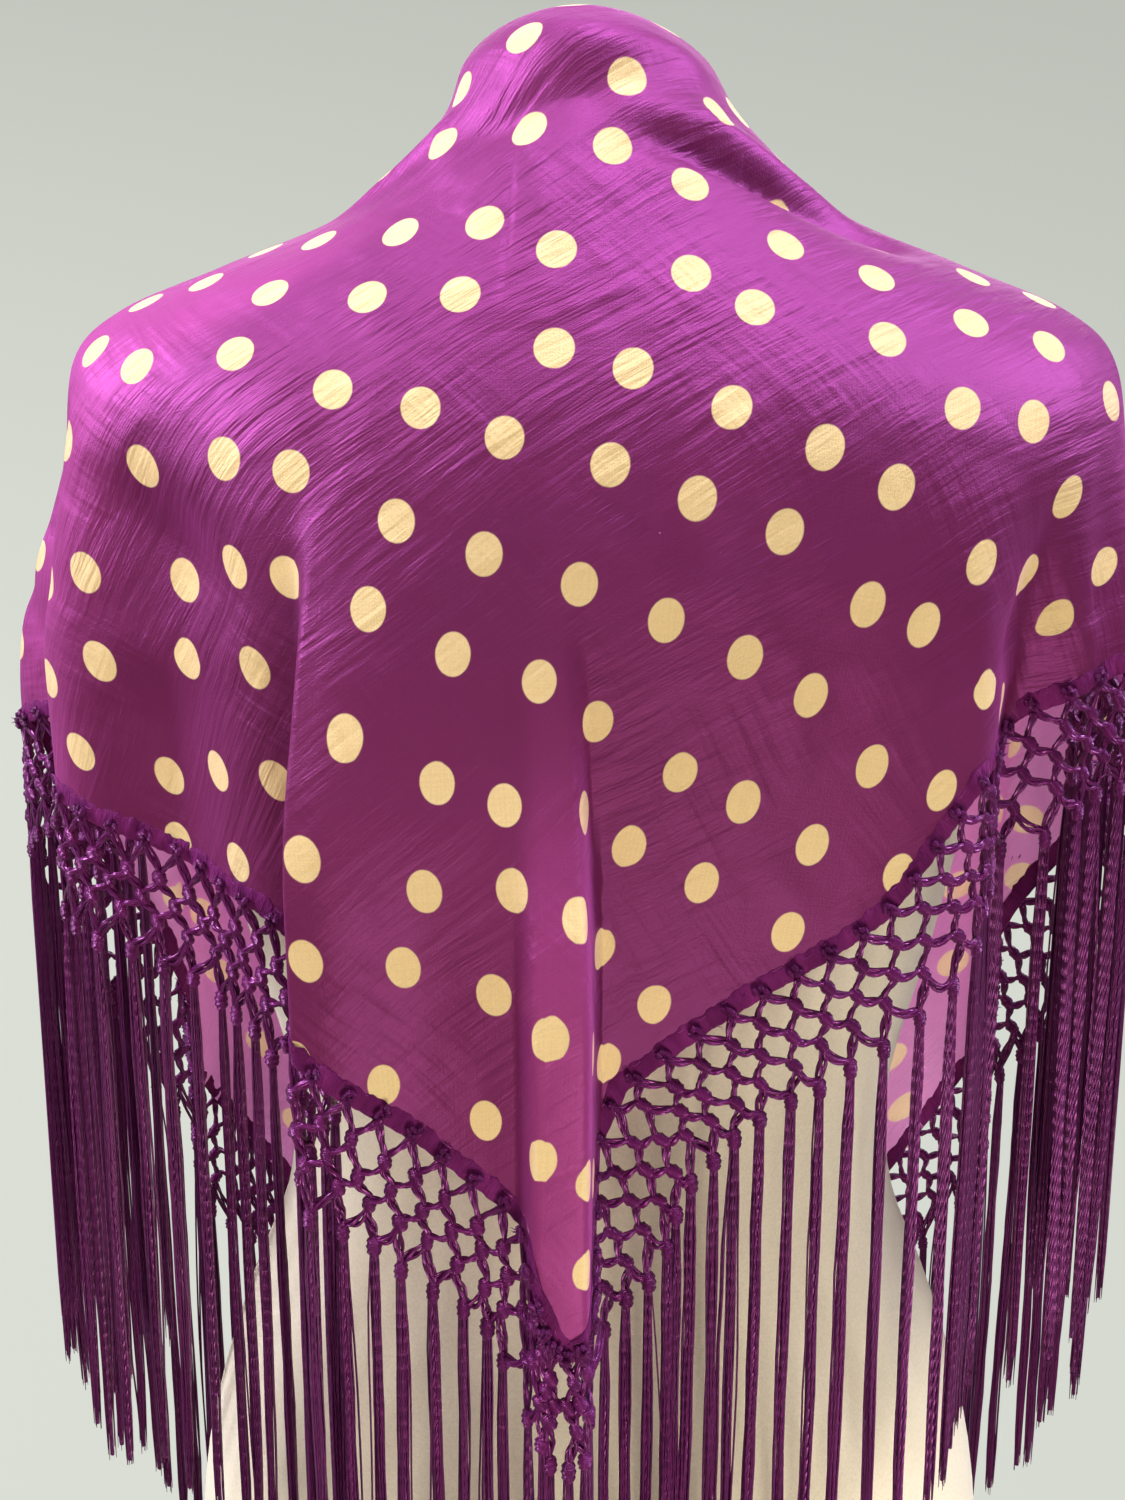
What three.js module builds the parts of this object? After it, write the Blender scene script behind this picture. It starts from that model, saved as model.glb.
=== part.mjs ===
// Flamenco shawl laid over a limbless dress form.
// Millimetres, +Z up, origin at the middle of the form's flat base. The wearer's back faces -Y.
import * as THREE from 'three';

// ---------- driving dimensions ----------
const CROWN_Z = 955;          // height of the cloth over the top of the neck
const CLOTH = 1.6;            // cloth wall
const GAP = 0.3;              // clearance between neighbouring pieces
const HEM_WIDTH = 7;          // turned hem on the two short sides
const HEM_WALL = 1.0;
const LAID_GAP = 0.7;         // clearance under a strip that lies on the cloth
const EDGE_WIDTH = 5;         // rolled hem on the long edge
const NET_DEPTH = 58;         // knotted net below the hem
const NET_WALL = 1.6;
const TASSEL_LENGTH = 232;    // silk tassels below the net
const FRINGE_WALL = 4.5;
const SPLIT = 96;             // ring angle, degrees, where the back stretch meets the front stretches
const LOW_EDGE = 158;         // ring angle of the front edges at the hem
const SECTION_POWER = 2.4;    // squareness of the shoulder sections (2 = ellipse)
const T_NECK = 0.30;          // row where the neck stretch meets the others

// Ring sections of the cloth, from the middle of the long edge (t = 0) to the chest (t = 1), then to the hem (t = 2).
// Heights are below the crown, at the side, the centre back and the centre front.
const SECTIONS = [
  { t: 0.00, half: 0,   back: -30, front: 30,  zSide: -10,   zBack: -10,  zFront: -10,  edgeL: 90,  edgeR: 90,  xMid: -6 },
  { t: 0.07, half: 17,  back: -8,  front: 40,  zSide: -6.5,  zBack: -4,   zFront: -15,  edgeL: 97,  edgeR: 97,  xMid: -6 },
  { t: 0.14, half: 32,  back: 15,  front: 49,  zSide: -10.5, zBack: -3,   zFront: -25,  edgeL: 104, edgeR: 104, xMid: -5 },
  { t: 0.21, half: 46,  back: 36,  front: 57,  zSide: -22,   zBack: -11,  zFront: -43,  edgeL: 112, edgeR: 112, xMid: -3 },
  { t: 0.28, half: 55,  back: 50,  front: 64,  zSide: -40,   zBack: -27,  zFront: -68,  edgeL: 120, edgeR: 120, xMid: -1 },
  { t: 0.34, half: 68,  back: 61,  front: 72,  zSide: -55,   zBack: -47,  zFront: -86,  edgeL: 126, edgeR: 126, xMid: 0 },
  { t: 0.42, half: 92,  back: 83,  front: 86,  zSide: -76,   zBack: -75,  zFront: -108, edgeL: 132, edgeR: 132, xMid: 0 },
  { t: 0.53, half: 142, back: 112, front: 108, zSide: -97,   zBack: -115, zFront: -140, edgeL: 139, edgeR: 139, xMid: 0 },
  { t: 0.66, half: 183, back: 130, front: 130, zSide: -114,  zBack: -152, zFront: -178, edgeL: 145, edgeR: 145, xMid: 0 },
  { t: 0.78, half: 200, back: 139, front: 143, zSide: -131,  zBack: -188, zFront: -222, edgeL: 150, edgeR: 150, xMid: 0 },
  { t: 0.89, half: 204, back: 142, front: 149, zSide: -162,  zBack: -222, zFront: -276, edgeL: 153, edgeR: 153, xMid: 0 },
  { t: 1.00, half: 206, back: 142, front: 152, zSide: -200,  zBack: -255, zFront: -335, edgeL: 155, edgeR: 155, xMid: 0 },
  { t: 2.00, half: 208, back: 141, front: 154, zSide: 0,     zBack: 0,    zFront: 0,    edgeL: 158, edgeR: 158, xMid: 0 },
];

// Hem line: ring angle in degrees (negative = wearer's left), height below the crown.
const HEM = [
  { angle: -158, z: -657 }, { angle: -150, z: -628 }, { angle: -136, z: -550 }, { angle: -125, z: -484 }, { angle: -112, z: -421 },
  { angle: -106, z: -366 }, { angle: -100, z: -294 }, { angle: -90, z: -278 }, { angle: -80, z: -282 }, { angle: -70, z: -288 },
  { angle: -60, z: -293 }, { angle: -54, z: -300 }, { angle: -49, z: -306 }, { angle: -42, z: -312 }, { angle: -34, z: -317 },
  { angle: -29, z: -329 }, { angle: -26, z: -340 }, { angle: -23.5, z: -350 }, { angle: -21, z: -360 }, { angle: -17, z: -373 },
  { angle: -14, z: -385 }, { angle: -11, z: -399 }, { angle: -8, z: -412 }, { angle: -6.8, z: -418 }, { angle: -6, z: -440 },
  { angle: -5.2, z: -456 }, { angle: -4.2, z: -463 }, { angle: -3, z: -462 }, { angle: -1.8, z: -456 }, { angle: -1, z: -444 },
  { angle: 0.4, z: -402 }, { angle: 3, z: -379 }, { angle: 10.7, z: -357 }, { angle: 16.6, z: -343 }, { angle: 23.7, z: -329 },
  { angle: 28.5, z: -318 }, { angle: 31, z: -308 }, { angle: 35.9, z: -285 }, { angle: 39.5, z: -270 }, { angle: 43, z: -266 },
  { angle: 48, z: -265 }, { angle: 51.5, z: -255 }, { angle: 55.5, z: -247 }, { angle: 62, z: -240 }, { angle: 75, z: -240 },
  { angle: 88, z: -257 }, { angle: 100, z: -306 }, { angle: 106, z: -360 }, { angle: 112, z: -398 }, { angle: 125, z: -470 },
  { angle: 136, z: -548 }, { angle: 150, z: -628 }, { angle: 158, z: -657 },
];
const TIP_ANGLE = -4.4;

// Hanging folds: ring angle at the top and at full depth, half the width of a flat crest, how far they stand out, reach to each side in degrees,
// sideways lean, and the heights where they start and reach full depth.
const FOLDS = [
  { name: 'left_back_fold',    top: -26,  low: -21.5, flat: 0.8, out: 40,  left: 3.6, right: 19, lean: -13, zStart: -150, zFull: -300 },
  { name: 'centre_back_fold',  top: -3.5, low: -2.6,  flat: 0,   out: 30,  left: 13,  right: 2.6, lean: 6,   zStart: -190, zFull: -345 },
  { name: 'centre_back_band',  top: -3.4, low: -3.4,  flat: 2.4, out: 13,  left: 1.6, right: 1.6, lean: 0,  zStart: -262, zFull: -350 },
  { name: 'left_hollow',       top: -46,  low: -46,   flat: 0,   out: -13, left: 14, right: 14, lean: 0,   zStart: -120, zFull: -220 },
  { name: 'left_edge_fold',    top: -64,  low: -64,   flat: 0,   out: 10,  left: 6,  right: 18, lean: -6,  zStart: -110, zFull: -240 },
  { name: 'left_side_valley',  top: -79,  low: -79,   flat: 0,   out: -24, left: 8,  right: 9,  lean: 0,   zStart: -125, zFull: -260 },
  { name: 'left_side_fold',    top: -98,  low: -98,   flat: 0,   out: 34,  left: 12, right: 15, lean: 0,   zStart: -120, zFull: -280 },
  { name: 'left_side_hollow',  top: -113, low: -113,  flat: 0,   out: -16, left: 9,  right: 9,  lean: 0,   zStart: -160, zFull: -330 },
  { name: 'left_front_fold',   top: -127, low: -128,  flat: 0,   out: 20,  left: 9,  right: 9,  lean: 0,   zStart: -190, zFull: -400 },
  { name: 'left_front_hollow', top: -139, low: -140,  flat: 0,   out: -14, left: 7,  right: 7,  lean: 0,   zStart: -240, zFull: -430 },
  { name: 'left_front_edge',   top: -149, low: -151,  flat: 0,   out: 12,  left: 8,  right: 7,  lean: 0,   zStart: -240, zFull: -480 },
  { name: 'right_valley',      top: 49,   low: 49,    flat: 0,   out: -22, left: 11, right: 8,  lean: 0,   zStart: -150, zFull: -260 },
  { name: 'right_arm_fold',    top: 66,   low: 66,    flat: 0,   out: 14,  left: 9,  right: 11, lean: 0,   zStart: -130, zFull: -240 },
  { name: 'right_side_hollow', top: 83,   low: 83,    flat: 0,   out: -16, left: 9,  right: 8,  lean: 0,   zStart: -125, zFull: -280 },
  { name: 'right_side_fold',   top: 98,   low: 98,    flat: 0,   out: 22,  left: 10, right: 11, lean: 0,   zStart: -130, zFull: -300 },
  { name: 'right_gap_hollow',  top: 112,  low: 112,   flat: 0,   out: -16, left: 8,  right: 9,  lean: 0,   zStart: -160, zFull: -330 },
  { name: 'right_front_fold',  top: 126,  low: 127,   flat: 0,   out: 20,  left: 9,  right: 9,  lean: 0,   zStart: -190, zFull: -400 },
  { name: 'right_front_hollow', top: 138, low: 139,   flat: 0,   out: -14, left: 7,  right: 7,  lean: 0,   zStart: -240, zFull: -430 },
  { name: 'right_front_edge',  top: 149,  low: 151,   flat: 0,   out: 12,  left: 7,  right: 8,  lean: 0,   zStart: -240, zFull: -480 },
];

// Dress form: horizontal sections, heights below the crown.
const FORM = [
  { z: -17,  half: 24,  back: 26,  front: 24 },  { z: -21,  half: 34,  back: 36,  front: 34 },  { z: -29,  half: 40,  back: 42,  front: 41 },
  { z: -42,  half: 46,  back: 49,  front: 50 },  { z: -56,  half: 51,  back: 55,  front: 55 },  { z: -68,  half: 62,  back: 64,  front: 58 },
  { z: -84,  half: 90,  back: 78,  front: 64 },  { z: -104, half: 133, back: 94,  front: 73 },  { z: -122, half: 168, back: 107, front: 85 },
  { z: -142, half: 187, back: 118, front: 97 }, { z: -172, half: 189, back: 125, front: 112 }, { z: -205, half: 180, back: 127, front: 128 },
  { z: -250, half: 167, back: 125, front: 136 }, { z: -300, half: 156, back: 117, front: 138 }, { z: -365, half: 143, back: 104, front: 122 },
  { z: -440, half: 127, back: 95,  front: 106 }, { z: -485, half: 131, back: 97,  front: 106 }, { z: -545, half: 153, back: 108, front: 112 },
  { z: -610, half: 171, back: 118, front: 116 }, { z: -680, half: 177, back: 122, front: 118 }, { z: -770, half: 172, back: 120, front: 115 },
  { z: -870, half: 162, back: 114, front: 109 }, { z: -955, half: 156, back: 110, front: 105 },
];
const FORM_POWER = 2.25;
const FORM_SIDES = 36;

const RAD = Math.PI / 180;
const clamp01 = (v) => Math.min(1, Math.max(0, v));
const smooth = (v) => { const s = clamp01(v); return s * s * (3 - 2 * s); };

// Smooth curve through a table column.
function curve(table, key, column, x) {
  const n = table.length;
  const h = []; const d = []; const m = [];
  for (let i = 0; i < n - 1; i++) { h.push(table[i + 1][key] - table[i][key]); d.push((table[i + 1][column] - table[i][column]) / h[i]); }
  for (let i = 0; i < n; i++) m.push(i === 0 ? d[0] : i === n - 1 ? d[n - 2] : (d[i - 1] * h[i] + d[i] * h[i - 1]) / (h[i - 1] + h[i]));
  let i = 0;
  while (i < n - 2 && x >= table[i + 1][key]) i++;
  const s = (x - table[i][key]) / h[i];
  return (2 * s ** 3 - 3 * s ** 2 + 1) * table[i][column] + (s ** 3 - 2 * s ** 2 + s) * h[i] * m[i]
    + (-2 * s ** 3 + 3 * s ** 2) * table[i + 1][column] + (s ** 3 - s ** 2) * h[i] * m[i + 1];
}
function straight(table, key, column, x) {
  let i = 0;
  while (i < table.length - 2 && x >= table[i + 1][key]) i++;
  const s = clamp01((x - table[i][key]) / (table[i + 1][key] - table[i][key]));
  return table[i][column] + (table[i + 1][column] - table[i][column]) * s;
}
const ringScale = (s, c, power) => (Math.abs(s) ** power + Math.abs(c) ** power) ** (-1 / power);

// Middle of the cloth: q = -1..1 across (left front edge to right front edge), t = 0..2 down. drop = length below the hem.
function cloth(q, t, drop = 0) {
  const v = (column) => curve(SECTIONS, 't', column, t);
  const half = v('half'); const back = v('back'); const front = v('front');
  const angle = q < 0 ? q * v('edgeL') : q * v('edgeR');
  const s = Math.sin(angle * RAD); const c = Math.cos(angle * RAD);
  const power = 2 + (SECTION_POWER - 2) * smooth((t - 0.3) / 0.4);
  const k = ringScale(s, c, power);
  const yMid = (front - back) / 2 * (1 - smooth((t - 0.2) / 0.35));
  const depth = c >= 0 ? back + yMid : front - yMid;
  const x0 = half * s * k; const y0 = -depth * c * k;
  const wBack = c > 0 ? c * c : 0; const wFront = c > 0 ? 0 : c * c; const wSide = 1 - wBack - wFront;
  const last = SECTIONS[SECTIONS.length - 2];
  let z;
  if (t <= 1) z = v('zSide') * wSide + v('zBack') * wBack + v('zFront') * wFront;
  else {
    const top = last.zSide * wSide + last.zBack * wBack + last.zFront * wFront;
    z = top + (straight(HEM, 'angle', 'z', angle) - top) * (t - 1);
  }
  let nx = x0 / Math.max(half, 1) ** 2; let ny = y0 / Math.max(depth, 1) ** 2;
  const l = Math.hypot(nx, ny) + 1e-9; nx /= l; ny /= l;
  let out = 0; let lean = 0;
  for (const f of FOLDS) {
    const down = smooth((z - f.zStart) / (f.zFull - f.zStart));
    const at = f.top + (f.low - f.top) * down;
    const p = smooth(1 - Math.max(0, Math.abs(angle - at) - f.flat) / (angle < at ? f.left : f.right)) * down;
    out += f.out * p; lean += f.lean * p;
  }
  return new THREE.Vector3(v('xMid') + x0 + nx * out - ny * lean, y0 + yMid + ny * out + nx * lean, CROWN_Z + z - drop);
}
// Outward normal of the cloth.
function clothNormal(q, t) {
  const e = 2e-3; const q0 = Math.max(-1, q - e); const q1 = Math.min(1, q + e);
  const tt = Math.max(t, 0.02); const t0 = Math.max(0.01, tt - e); const t1 = Math.min(2, tt + e);
  const a = cloth(q1, tt).sub(cloth(q0, tt)); const b = cloth(q, t1).sub(cloth(q, t0));
  return b.cross(a).normalize();
}
// Outward normal of what hangs plumb below the hem.
function plumbNormal(q) {
  const e = 2e-3; const a = cloth(Math.min(1, q + e), 2).sub(cloth(Math.max(-1, q - e), 2));
  return new THREE.Vector3(a.y, -a.x, 0).normalize();
}

// Closed wall between two grids of points (rows x columns), outer facing out.
function wall(outer, inner) {
  const rows = outer.length; const cols = outer[0].length; const position = []; const index = [];
  for (const g of [outer, inner]) for (const r of g) for (const p of r) position.push(p.x, p.y, p.z);
  const id = (side, i, j) => side * rows * cols + i * cols + j;
  const quad = (a, b, c, d) => { index.push(a, b, c, a, c, d); };
  for (let i = 0; i < rows - 1; i++) for (let j = 0; j < cols - 1; j++) {
    quad(id(0, i, j), id(0, i + 1, j), id(0, i + 1, j + 1), id(0, i, j + 1));
    quad(id(1, i, j), id(1, i, j + 1), id(1, i + 1, j + 1), id(1, i + 1, j));
  }
  for (let j = 0; j < cols - 1; j++) {
    quad(id(0, 0, j), id(0, 0, j + 1), id(1, 0, j + 1), id(1, 0, j));
    quad(id(0, rows - 1, j), id(1, rows - 1, j), id(1, rows - 1, j + 1), id(0, rows - 1, j + 1));
  }
  for (let i = 0; i < rows - 1; i++) {
    quad(id(0, i, 0), id(1, i, 0), id(1, i + 1, 0), id(0, i + 1, 0));
    quad(id(0, i, cols - 1), id(0, i + 1, cols - 1), id(1, i + 1, cols - 1), id(1, i, cols - 1));
  }
  return { position, index };
}
// Weld equal points and drop triangles that vanish, so a row that meets in one point closes cleanly.
function weld({ position, index }) {
  const key = new Map(); const to = []; const kept = [];
  for (let i = 0; i < position.length; i += 3) {
    const k = `${Math.round(position[i] * 500)},${Math.round(position[i + 1] * 500)},${Math.round(position[i + 2] * 500)}`;
    if (!key.has(k)) { key.set(k, kept.length / 3); kept.push(position[i], position[i + 1], position[i + 2]); }
    to.push(key.get(k));
  }
  const tri = [];
  for (let i = 0; i < index.length; i += 3) {
    const [a, b, c] = [to[index[i]], to[index[i + 1]], to[index[i + 2]]];
    if (a !== b && b !== c && a !== c) tri.push(a, b, c);
  }
  const g = new THREE.BufferGeometry();
  g.setAttribute('position', new THREE.Float32BufferAttribute(kept, 3));
  g.setIndex(tri);
  g.computeVertexNormals();
  return g;
}

// ---------- columns and rows ----------
const STEEP = [[-26.2, -25, -24, -23, -22, -21], [-8, -7, -6, -5, -4.4, -3.4, -2.4, -1.4, -0.4, 0.6, 1.6, 2.8]];
function columnAngles() {
  const own = STEEP.flat();
  const plain = [];
  for (let k = -28; k <= 28; k++) plain.push(k * (LOW_EDGE / 28));
  const near = (v) => own.some((o) => Math.abs(o - v) < 2.4) || Math.abs(Math.abs(v) - SPLIT) < 2.5 || Math.abs(Math.abs(v) - LOW_EDGE) < 1;
  return [...plain.filter((v) => !near(v)), ...own, -LOW_EDGE, LOW_EDGE].sort((a, b) => a - b);
}
const ANGLES = columnAngles();
const SEAM_Q = 0.0013;        // half of the clearance at the seams, as a share of the width
const splitQ = SPLIT / LOW_EDGE;
const asQ = (list) => list.map((a) => a / LOW_EDGE);
const BACK_Q = [-splitQ + SEAM_Q, ...asQ(ANGLES.filter((a) => Math.abs(a) < SPLIT)), splitQ - SEAM_Q];
const LEFT_Q = [...asQ(ANGLES.filter((a) => a < -SPLIT)), -splitQ - SEAM_Q];
const RIGHT_Q = [splitQ + SEAM_Q, ...asQ(ANGLES.filter((a) => a > SPLIT))];
const NECK_Q = []; for (let k = -15; k <= 15; k++) NECK_Q.push(k / 15);
const BODY_T = [T_NECK + 0.0012, 0.36, 0.42, 0.49, 0.56, 0.63, 0.70, 0.78, 0.87, 1, 1.12, 1.24, 1.36, 1.48, 1.6, 1.73, 1.86, 2];
const NECK_T = [0, 0.05, 0.10, 0.15, 0.20, 0.25, T_NECK - 0.0012];

// A panel's points and normals, rows down and columns across.
function clothGrid(qs, ts) {
  return ts.map((t) => qs.map((q) => (t === 0
    ? { p: cloth(0, 0), n: new THREE.Vector3(0, 0, 1) } : { p: cloth(q, t), n: clothNormal(q, t) })));
}
const offset = (grid, d) => grid.map((row) => row.map(({ p, n }) => p.clone().addScaledVector(n, d)));
const clothPanel = (grid) => weld(wall(offset(grid, CLOTH / 2), offset(grid, -CLOTH / 2)));
// The point a length away from one grid point towards another.
const towards = (a, b, length) => {
  const s = length / a.p.distanceTo(b.p);
  return { p: a.p.clone().lerp(b.p, s), n: a.n.clone().lerp(b.n, s).normalize() };
};
// Strip lying on the cloth, made from the panel's points and moved out.
const strip = (grid) => weld(wall(offset(grid, CLOTH / 2 + LAID_GAP + HEM_WALL), offset(grid, CLOTH / 2 + LAID_GAP)));
function hemStrip(columns) {
  return strip([columns.map(([last, above]) => towards(last, above, HEM_WIDTH)), columns.map(([last, above]) => towards(last, above, GAP))]);
}
function edgeStrip(rows, sign) {
  const pick = (row) => (sign > 0 ? [row[row.length - 1], row[row.length - 2]] : [row[0], row[1]]);
  const pairs = rows.map(pick).map(([edge, next]) => [towards(edge, next, GAP), towards(edge, next, EDGE_WIDTH)]);
  const last = pairs.length - 1;
  pairs[last] = [0, 1].map((k) => towards(pairs[last][k], pairs[last - 1][k], HEM_WIDTH * 2));
  return strip(pairs.map(([edge, inside]) => (sign > 0 ? [inside, edge] : [edge, inside])));
}
// Wall that hangs plumb below the hem; levels = [drop, thickness] pairs.
function hanging(qs, levels) {
  const side = (sign) => levels.map(([drop, thick]) => qs.map((q) => cloth(q, 2, drop).addScaledVector(plumbNormal(q), sign * thick / 2)));
  return weld(wall(side(1), side(-1)));
}
function formBody() {
  const rings = FORM.map(({ z, half, back, front }) => Array.from({ length: FORM_SIDES }, (_, k) => {
    const a = (k / FORM_SIDES) * 2 * Math.PI; const s = Math.sin(a); const c = Math.cos(a); const m = ringScale(s, c, FORM_POWER);
    return [half * s * m, -(c > 0 ? back : front) * c * m, CROWN_Z + z];
  }));
  const position = rings.flat().flat(); const index = []; const n = FORM_SIDES; const rows = rings.length;
  for (let i = 0; i < rows - 1; i++) for (let j = 0; j < n; j++) {
    const a = i * n + j; const b = i * n + (j + 1) % n; const c = a + n; const d = b + n;
    index.push(a, c, b, b, c, d);
  }
  position.push(0, 0, rings[0][0][2], 0, 0, 0);
  const top = rows * n; const base = top + 1;
  for (let j = 0; j < n; j++) { index.push(top, j, (j + 1) % n); index.push(base, (rows - 1) * n + (j + 1) % n, (rows - 1) * n + j); }
  return weld({ position, index });
}

// ---------- materials and parts ----------
const clothMaterial = new THREE.MeshStandardMaterial({ color: 0x9c3b8a, roughness: 0.55, metalness: 0, side: THREE.DoubleSide });
const hemMaterial = new THREE.MeshStandardMaterial({ color: 0x7c2470, roughness: 0.6, metalness: 0 });
const cordMaterial = new THREE.MeshStandardMaterial({ color: 0x6a1f68, roughness: 0.4, metalness: 0 });
const silkMaterial = new THREE.MeshStandardMaterial({ color: 0x4d1a4c, roughness: 0.4, metalness: 0 });
const formMaterial = new THREE.MeshStandardMaterial({ color: 0xd8cfb4, roughness: 0.8, metalness: 0 });

const shawl = new THREE.Group();
const add = (name, geometry, material) => { const m = new THREE.Mesh(geometry, material.clone()); m.name = name; shawl.add(m); };

const NECK = clothGrid(NECK_Q, NECK_T);
const BACK = clothGrid(BACK_Q, BODY_T);
const LEFT = clothGrid(LEFT_Q, BODY_T);
const RIGHT = clothGrid(RIGHT_Q, BODY_T);

const tipQ = TIP_ANGLE / LOW_EDGE;
const tip = BACK_Q.findIndex((q) => Math.abs(q - tipQ) < 1e-6);
const lastTwo = (grid, from, to) => grid[grid.length - 1].slice(from, to).map((point, j) => [point, grid[grid.length - 2][j + from]]);
const beside = ([a, aUp], [b, bUp]) => [towards(a, b, GAP), towards(aUp, bUp, GAP)];
const backColumns = lastTwo(BACK, 0, BACK_Q.length);
const hemLeft = [...lastTwo(LEFT, 0, LEFT_Q.length), ...backColumns.slice(0, tip), beside(backColumns[tip], backColumns[tip - 1])];
const hemRight = [beside(backColumns[tip], backColumns[tip + 1]), ...backColumns.slice(tip + 1), ...lastTwo(RIGHT, 0, RIGHT_Q.length)];
const backLeftQ = [...BACK_Q.slice(0, tip), tipQ - 0.0012];
const backRightQ = [tipQ + 0.0012, ...BACK_Q.slice(tip + 1)];

// The back stretch's two halves meet over the point.
const BACK_LEFT = BACK.map((row) => [...row.slice(0, tip), towards(row[tip], row[tip - 1], GAP / 2)]);
const BACK_RIGHT = BACK.map((row) => [towards(row[tip], row[tip + 1], GAP / 2), ...row.slice(tip + 1)]);

add('form_body', formBody(), formMaterial);
add('shawl_neck', clothPanel(NECK), clothMaterial);
add('shawl_back_left', clothPanel(BACK_LEFT), clothMaterial);
add('shawl_back_right', clothPanel(BACK_RIGHT), clothMaterial);
add('shawl_front_left', clothPanel(LEFT), clothMaterial);
add('shawl_front_right', clothPanel(RIGHT), clothMaterial);
add('hem_left', hemStrip(hemLeft), hemMaterial);
add('hem_right', hemStrip(hemRight), hemMaterial);
const neckRows = NECK.filter((_, i) => NECK_T[i] >= 0.1);
add('edge_left', edgeStrip([...neckRows, ...LEFT], -1), hemMaterial);
add('edge_right', edgeStrip([...neckRows, ...RIGHT], 1), hemMaterial);

const netTop = 2 * GAP; const netEnd = NET_DEPTH; const fringeTop = netEnd + GAP;
const stretches = [['back_left', backLeftQ], ['back_right', backRightQ], ['front_left', LEFT_Q], ['front_right', RIGHT_Q]];
for (const [where, qs] of stretches) {
  add(`net_${where}`, hanging(qs, [[netTop, NET_WALL], [netEnd / 2, NET_WALL], [netEnd, NET_WALL]]), cordMaterial);
  add(`fringe_${where}`, hanging(qs, [[fringeTop, NET_WALL], [fringeTop + 14, FRINGE_WALL], [fringeTop + TASSEL_LENGTH, FRINGE_WALL]]), silkMaterial);
}

export default shawl;
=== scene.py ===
import bpy
import math
import numpy as np
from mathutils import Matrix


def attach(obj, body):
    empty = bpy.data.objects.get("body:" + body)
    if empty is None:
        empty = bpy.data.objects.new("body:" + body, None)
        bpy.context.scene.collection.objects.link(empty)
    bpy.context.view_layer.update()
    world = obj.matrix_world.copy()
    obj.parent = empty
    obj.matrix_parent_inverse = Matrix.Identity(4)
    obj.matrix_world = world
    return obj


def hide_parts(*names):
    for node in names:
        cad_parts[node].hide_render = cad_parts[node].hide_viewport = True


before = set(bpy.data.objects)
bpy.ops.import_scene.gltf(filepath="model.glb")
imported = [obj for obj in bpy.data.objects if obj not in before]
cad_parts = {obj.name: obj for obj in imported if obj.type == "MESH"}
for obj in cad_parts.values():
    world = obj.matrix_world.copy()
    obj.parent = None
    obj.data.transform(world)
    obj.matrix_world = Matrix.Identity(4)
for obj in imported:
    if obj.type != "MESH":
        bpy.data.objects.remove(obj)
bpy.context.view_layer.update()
MM = 0.001

# ------------------------------------------------------------------ sizes, mm (the same tables as the solids)
CROWN_Z = 955.0
NET_DEPTH = 58.0
TASSEL_LENGTH = 232.0
LOW_EDGE = 158.0
SECTION_POWER = 2.4
TIP_ANGLE = -4.4
# t, half, back, front, zSide, zBack, zFront, edgeL, edgeR, xMid
SECTIONS = np.array([
    (0.00, 0, -30, 30, -10, -10, -10, 90, 90, -6), (0.07, 17, -8, 40, -6.5, -4, -15, 97, 97, -6),
    (0.14, 32, 15, 49, -10.5, -3, -25, 104, 104, -5), (0.21, 46, 36, 57, -22, -11, -43, 112, 112, -3),
    (0.28, 55, 50, 64, -40, -27, -68, 120, 120, -1), (0.34, 68, 61, 72, -55, -47, -86, 126, 126, 0),
    (0.42, 92, 83, 86, -76, -75, -108, 132, 132, 0), (0.53, 142, 112, 108, -97, -115, -140, 139, 139, 0),
    (0.66, 183, 130, 130, -114, -152, -178, 145, 145, 0), (0.78, 200, 139, 143, -131, -188, -222, 150, 150, 0),
    (0.89, 204, 142, 149, -162, -222, -276, 153, 153, 0), (1.00, 206, 142, 152, -200, -255, -335, 155, 155, 0),
    (2.00, 208, 141, 154, 0, 0, 0, 158, 158, 0)], float)
# ring angle, height below the crown
HEM = np.array([
    (-158, -657), (-150, -628), (-136, -550), (-125, -484), (-112, -421), (-106, -366), (-100, -294), (-90, -278),
    (-80, -282), (-70, -288), (-60, -293), (-54, -300), (-49, -306), (-42, -312), (-34, -317), (-29, -329), (-26,
    -340), (-23.5, -350), (-21, -360), (-17, -373), (-14, -385), (-11, -399), (-8, -412), (-6.8, -418), (-6, -440),
    (-5.2, -456), (-4.2, -463), (-3, -462), (-1.8, -456), (-1, -444), (0.4, -402), (3, -379), (10.7, -357), (16.6,
    -343), (23.7, -329), (28.5, -318), (31, -308), (35.9, -285), (39.5, -270), (43, -266), (48, -265), (51.5, -255),
    (55.5, -247), (62, -240), (75, -240), (88, -257), (100, -306), (106, -360), (112, -398), (125, -470), (136,
    -548), (150, -628), (158, -657)], float)
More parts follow.
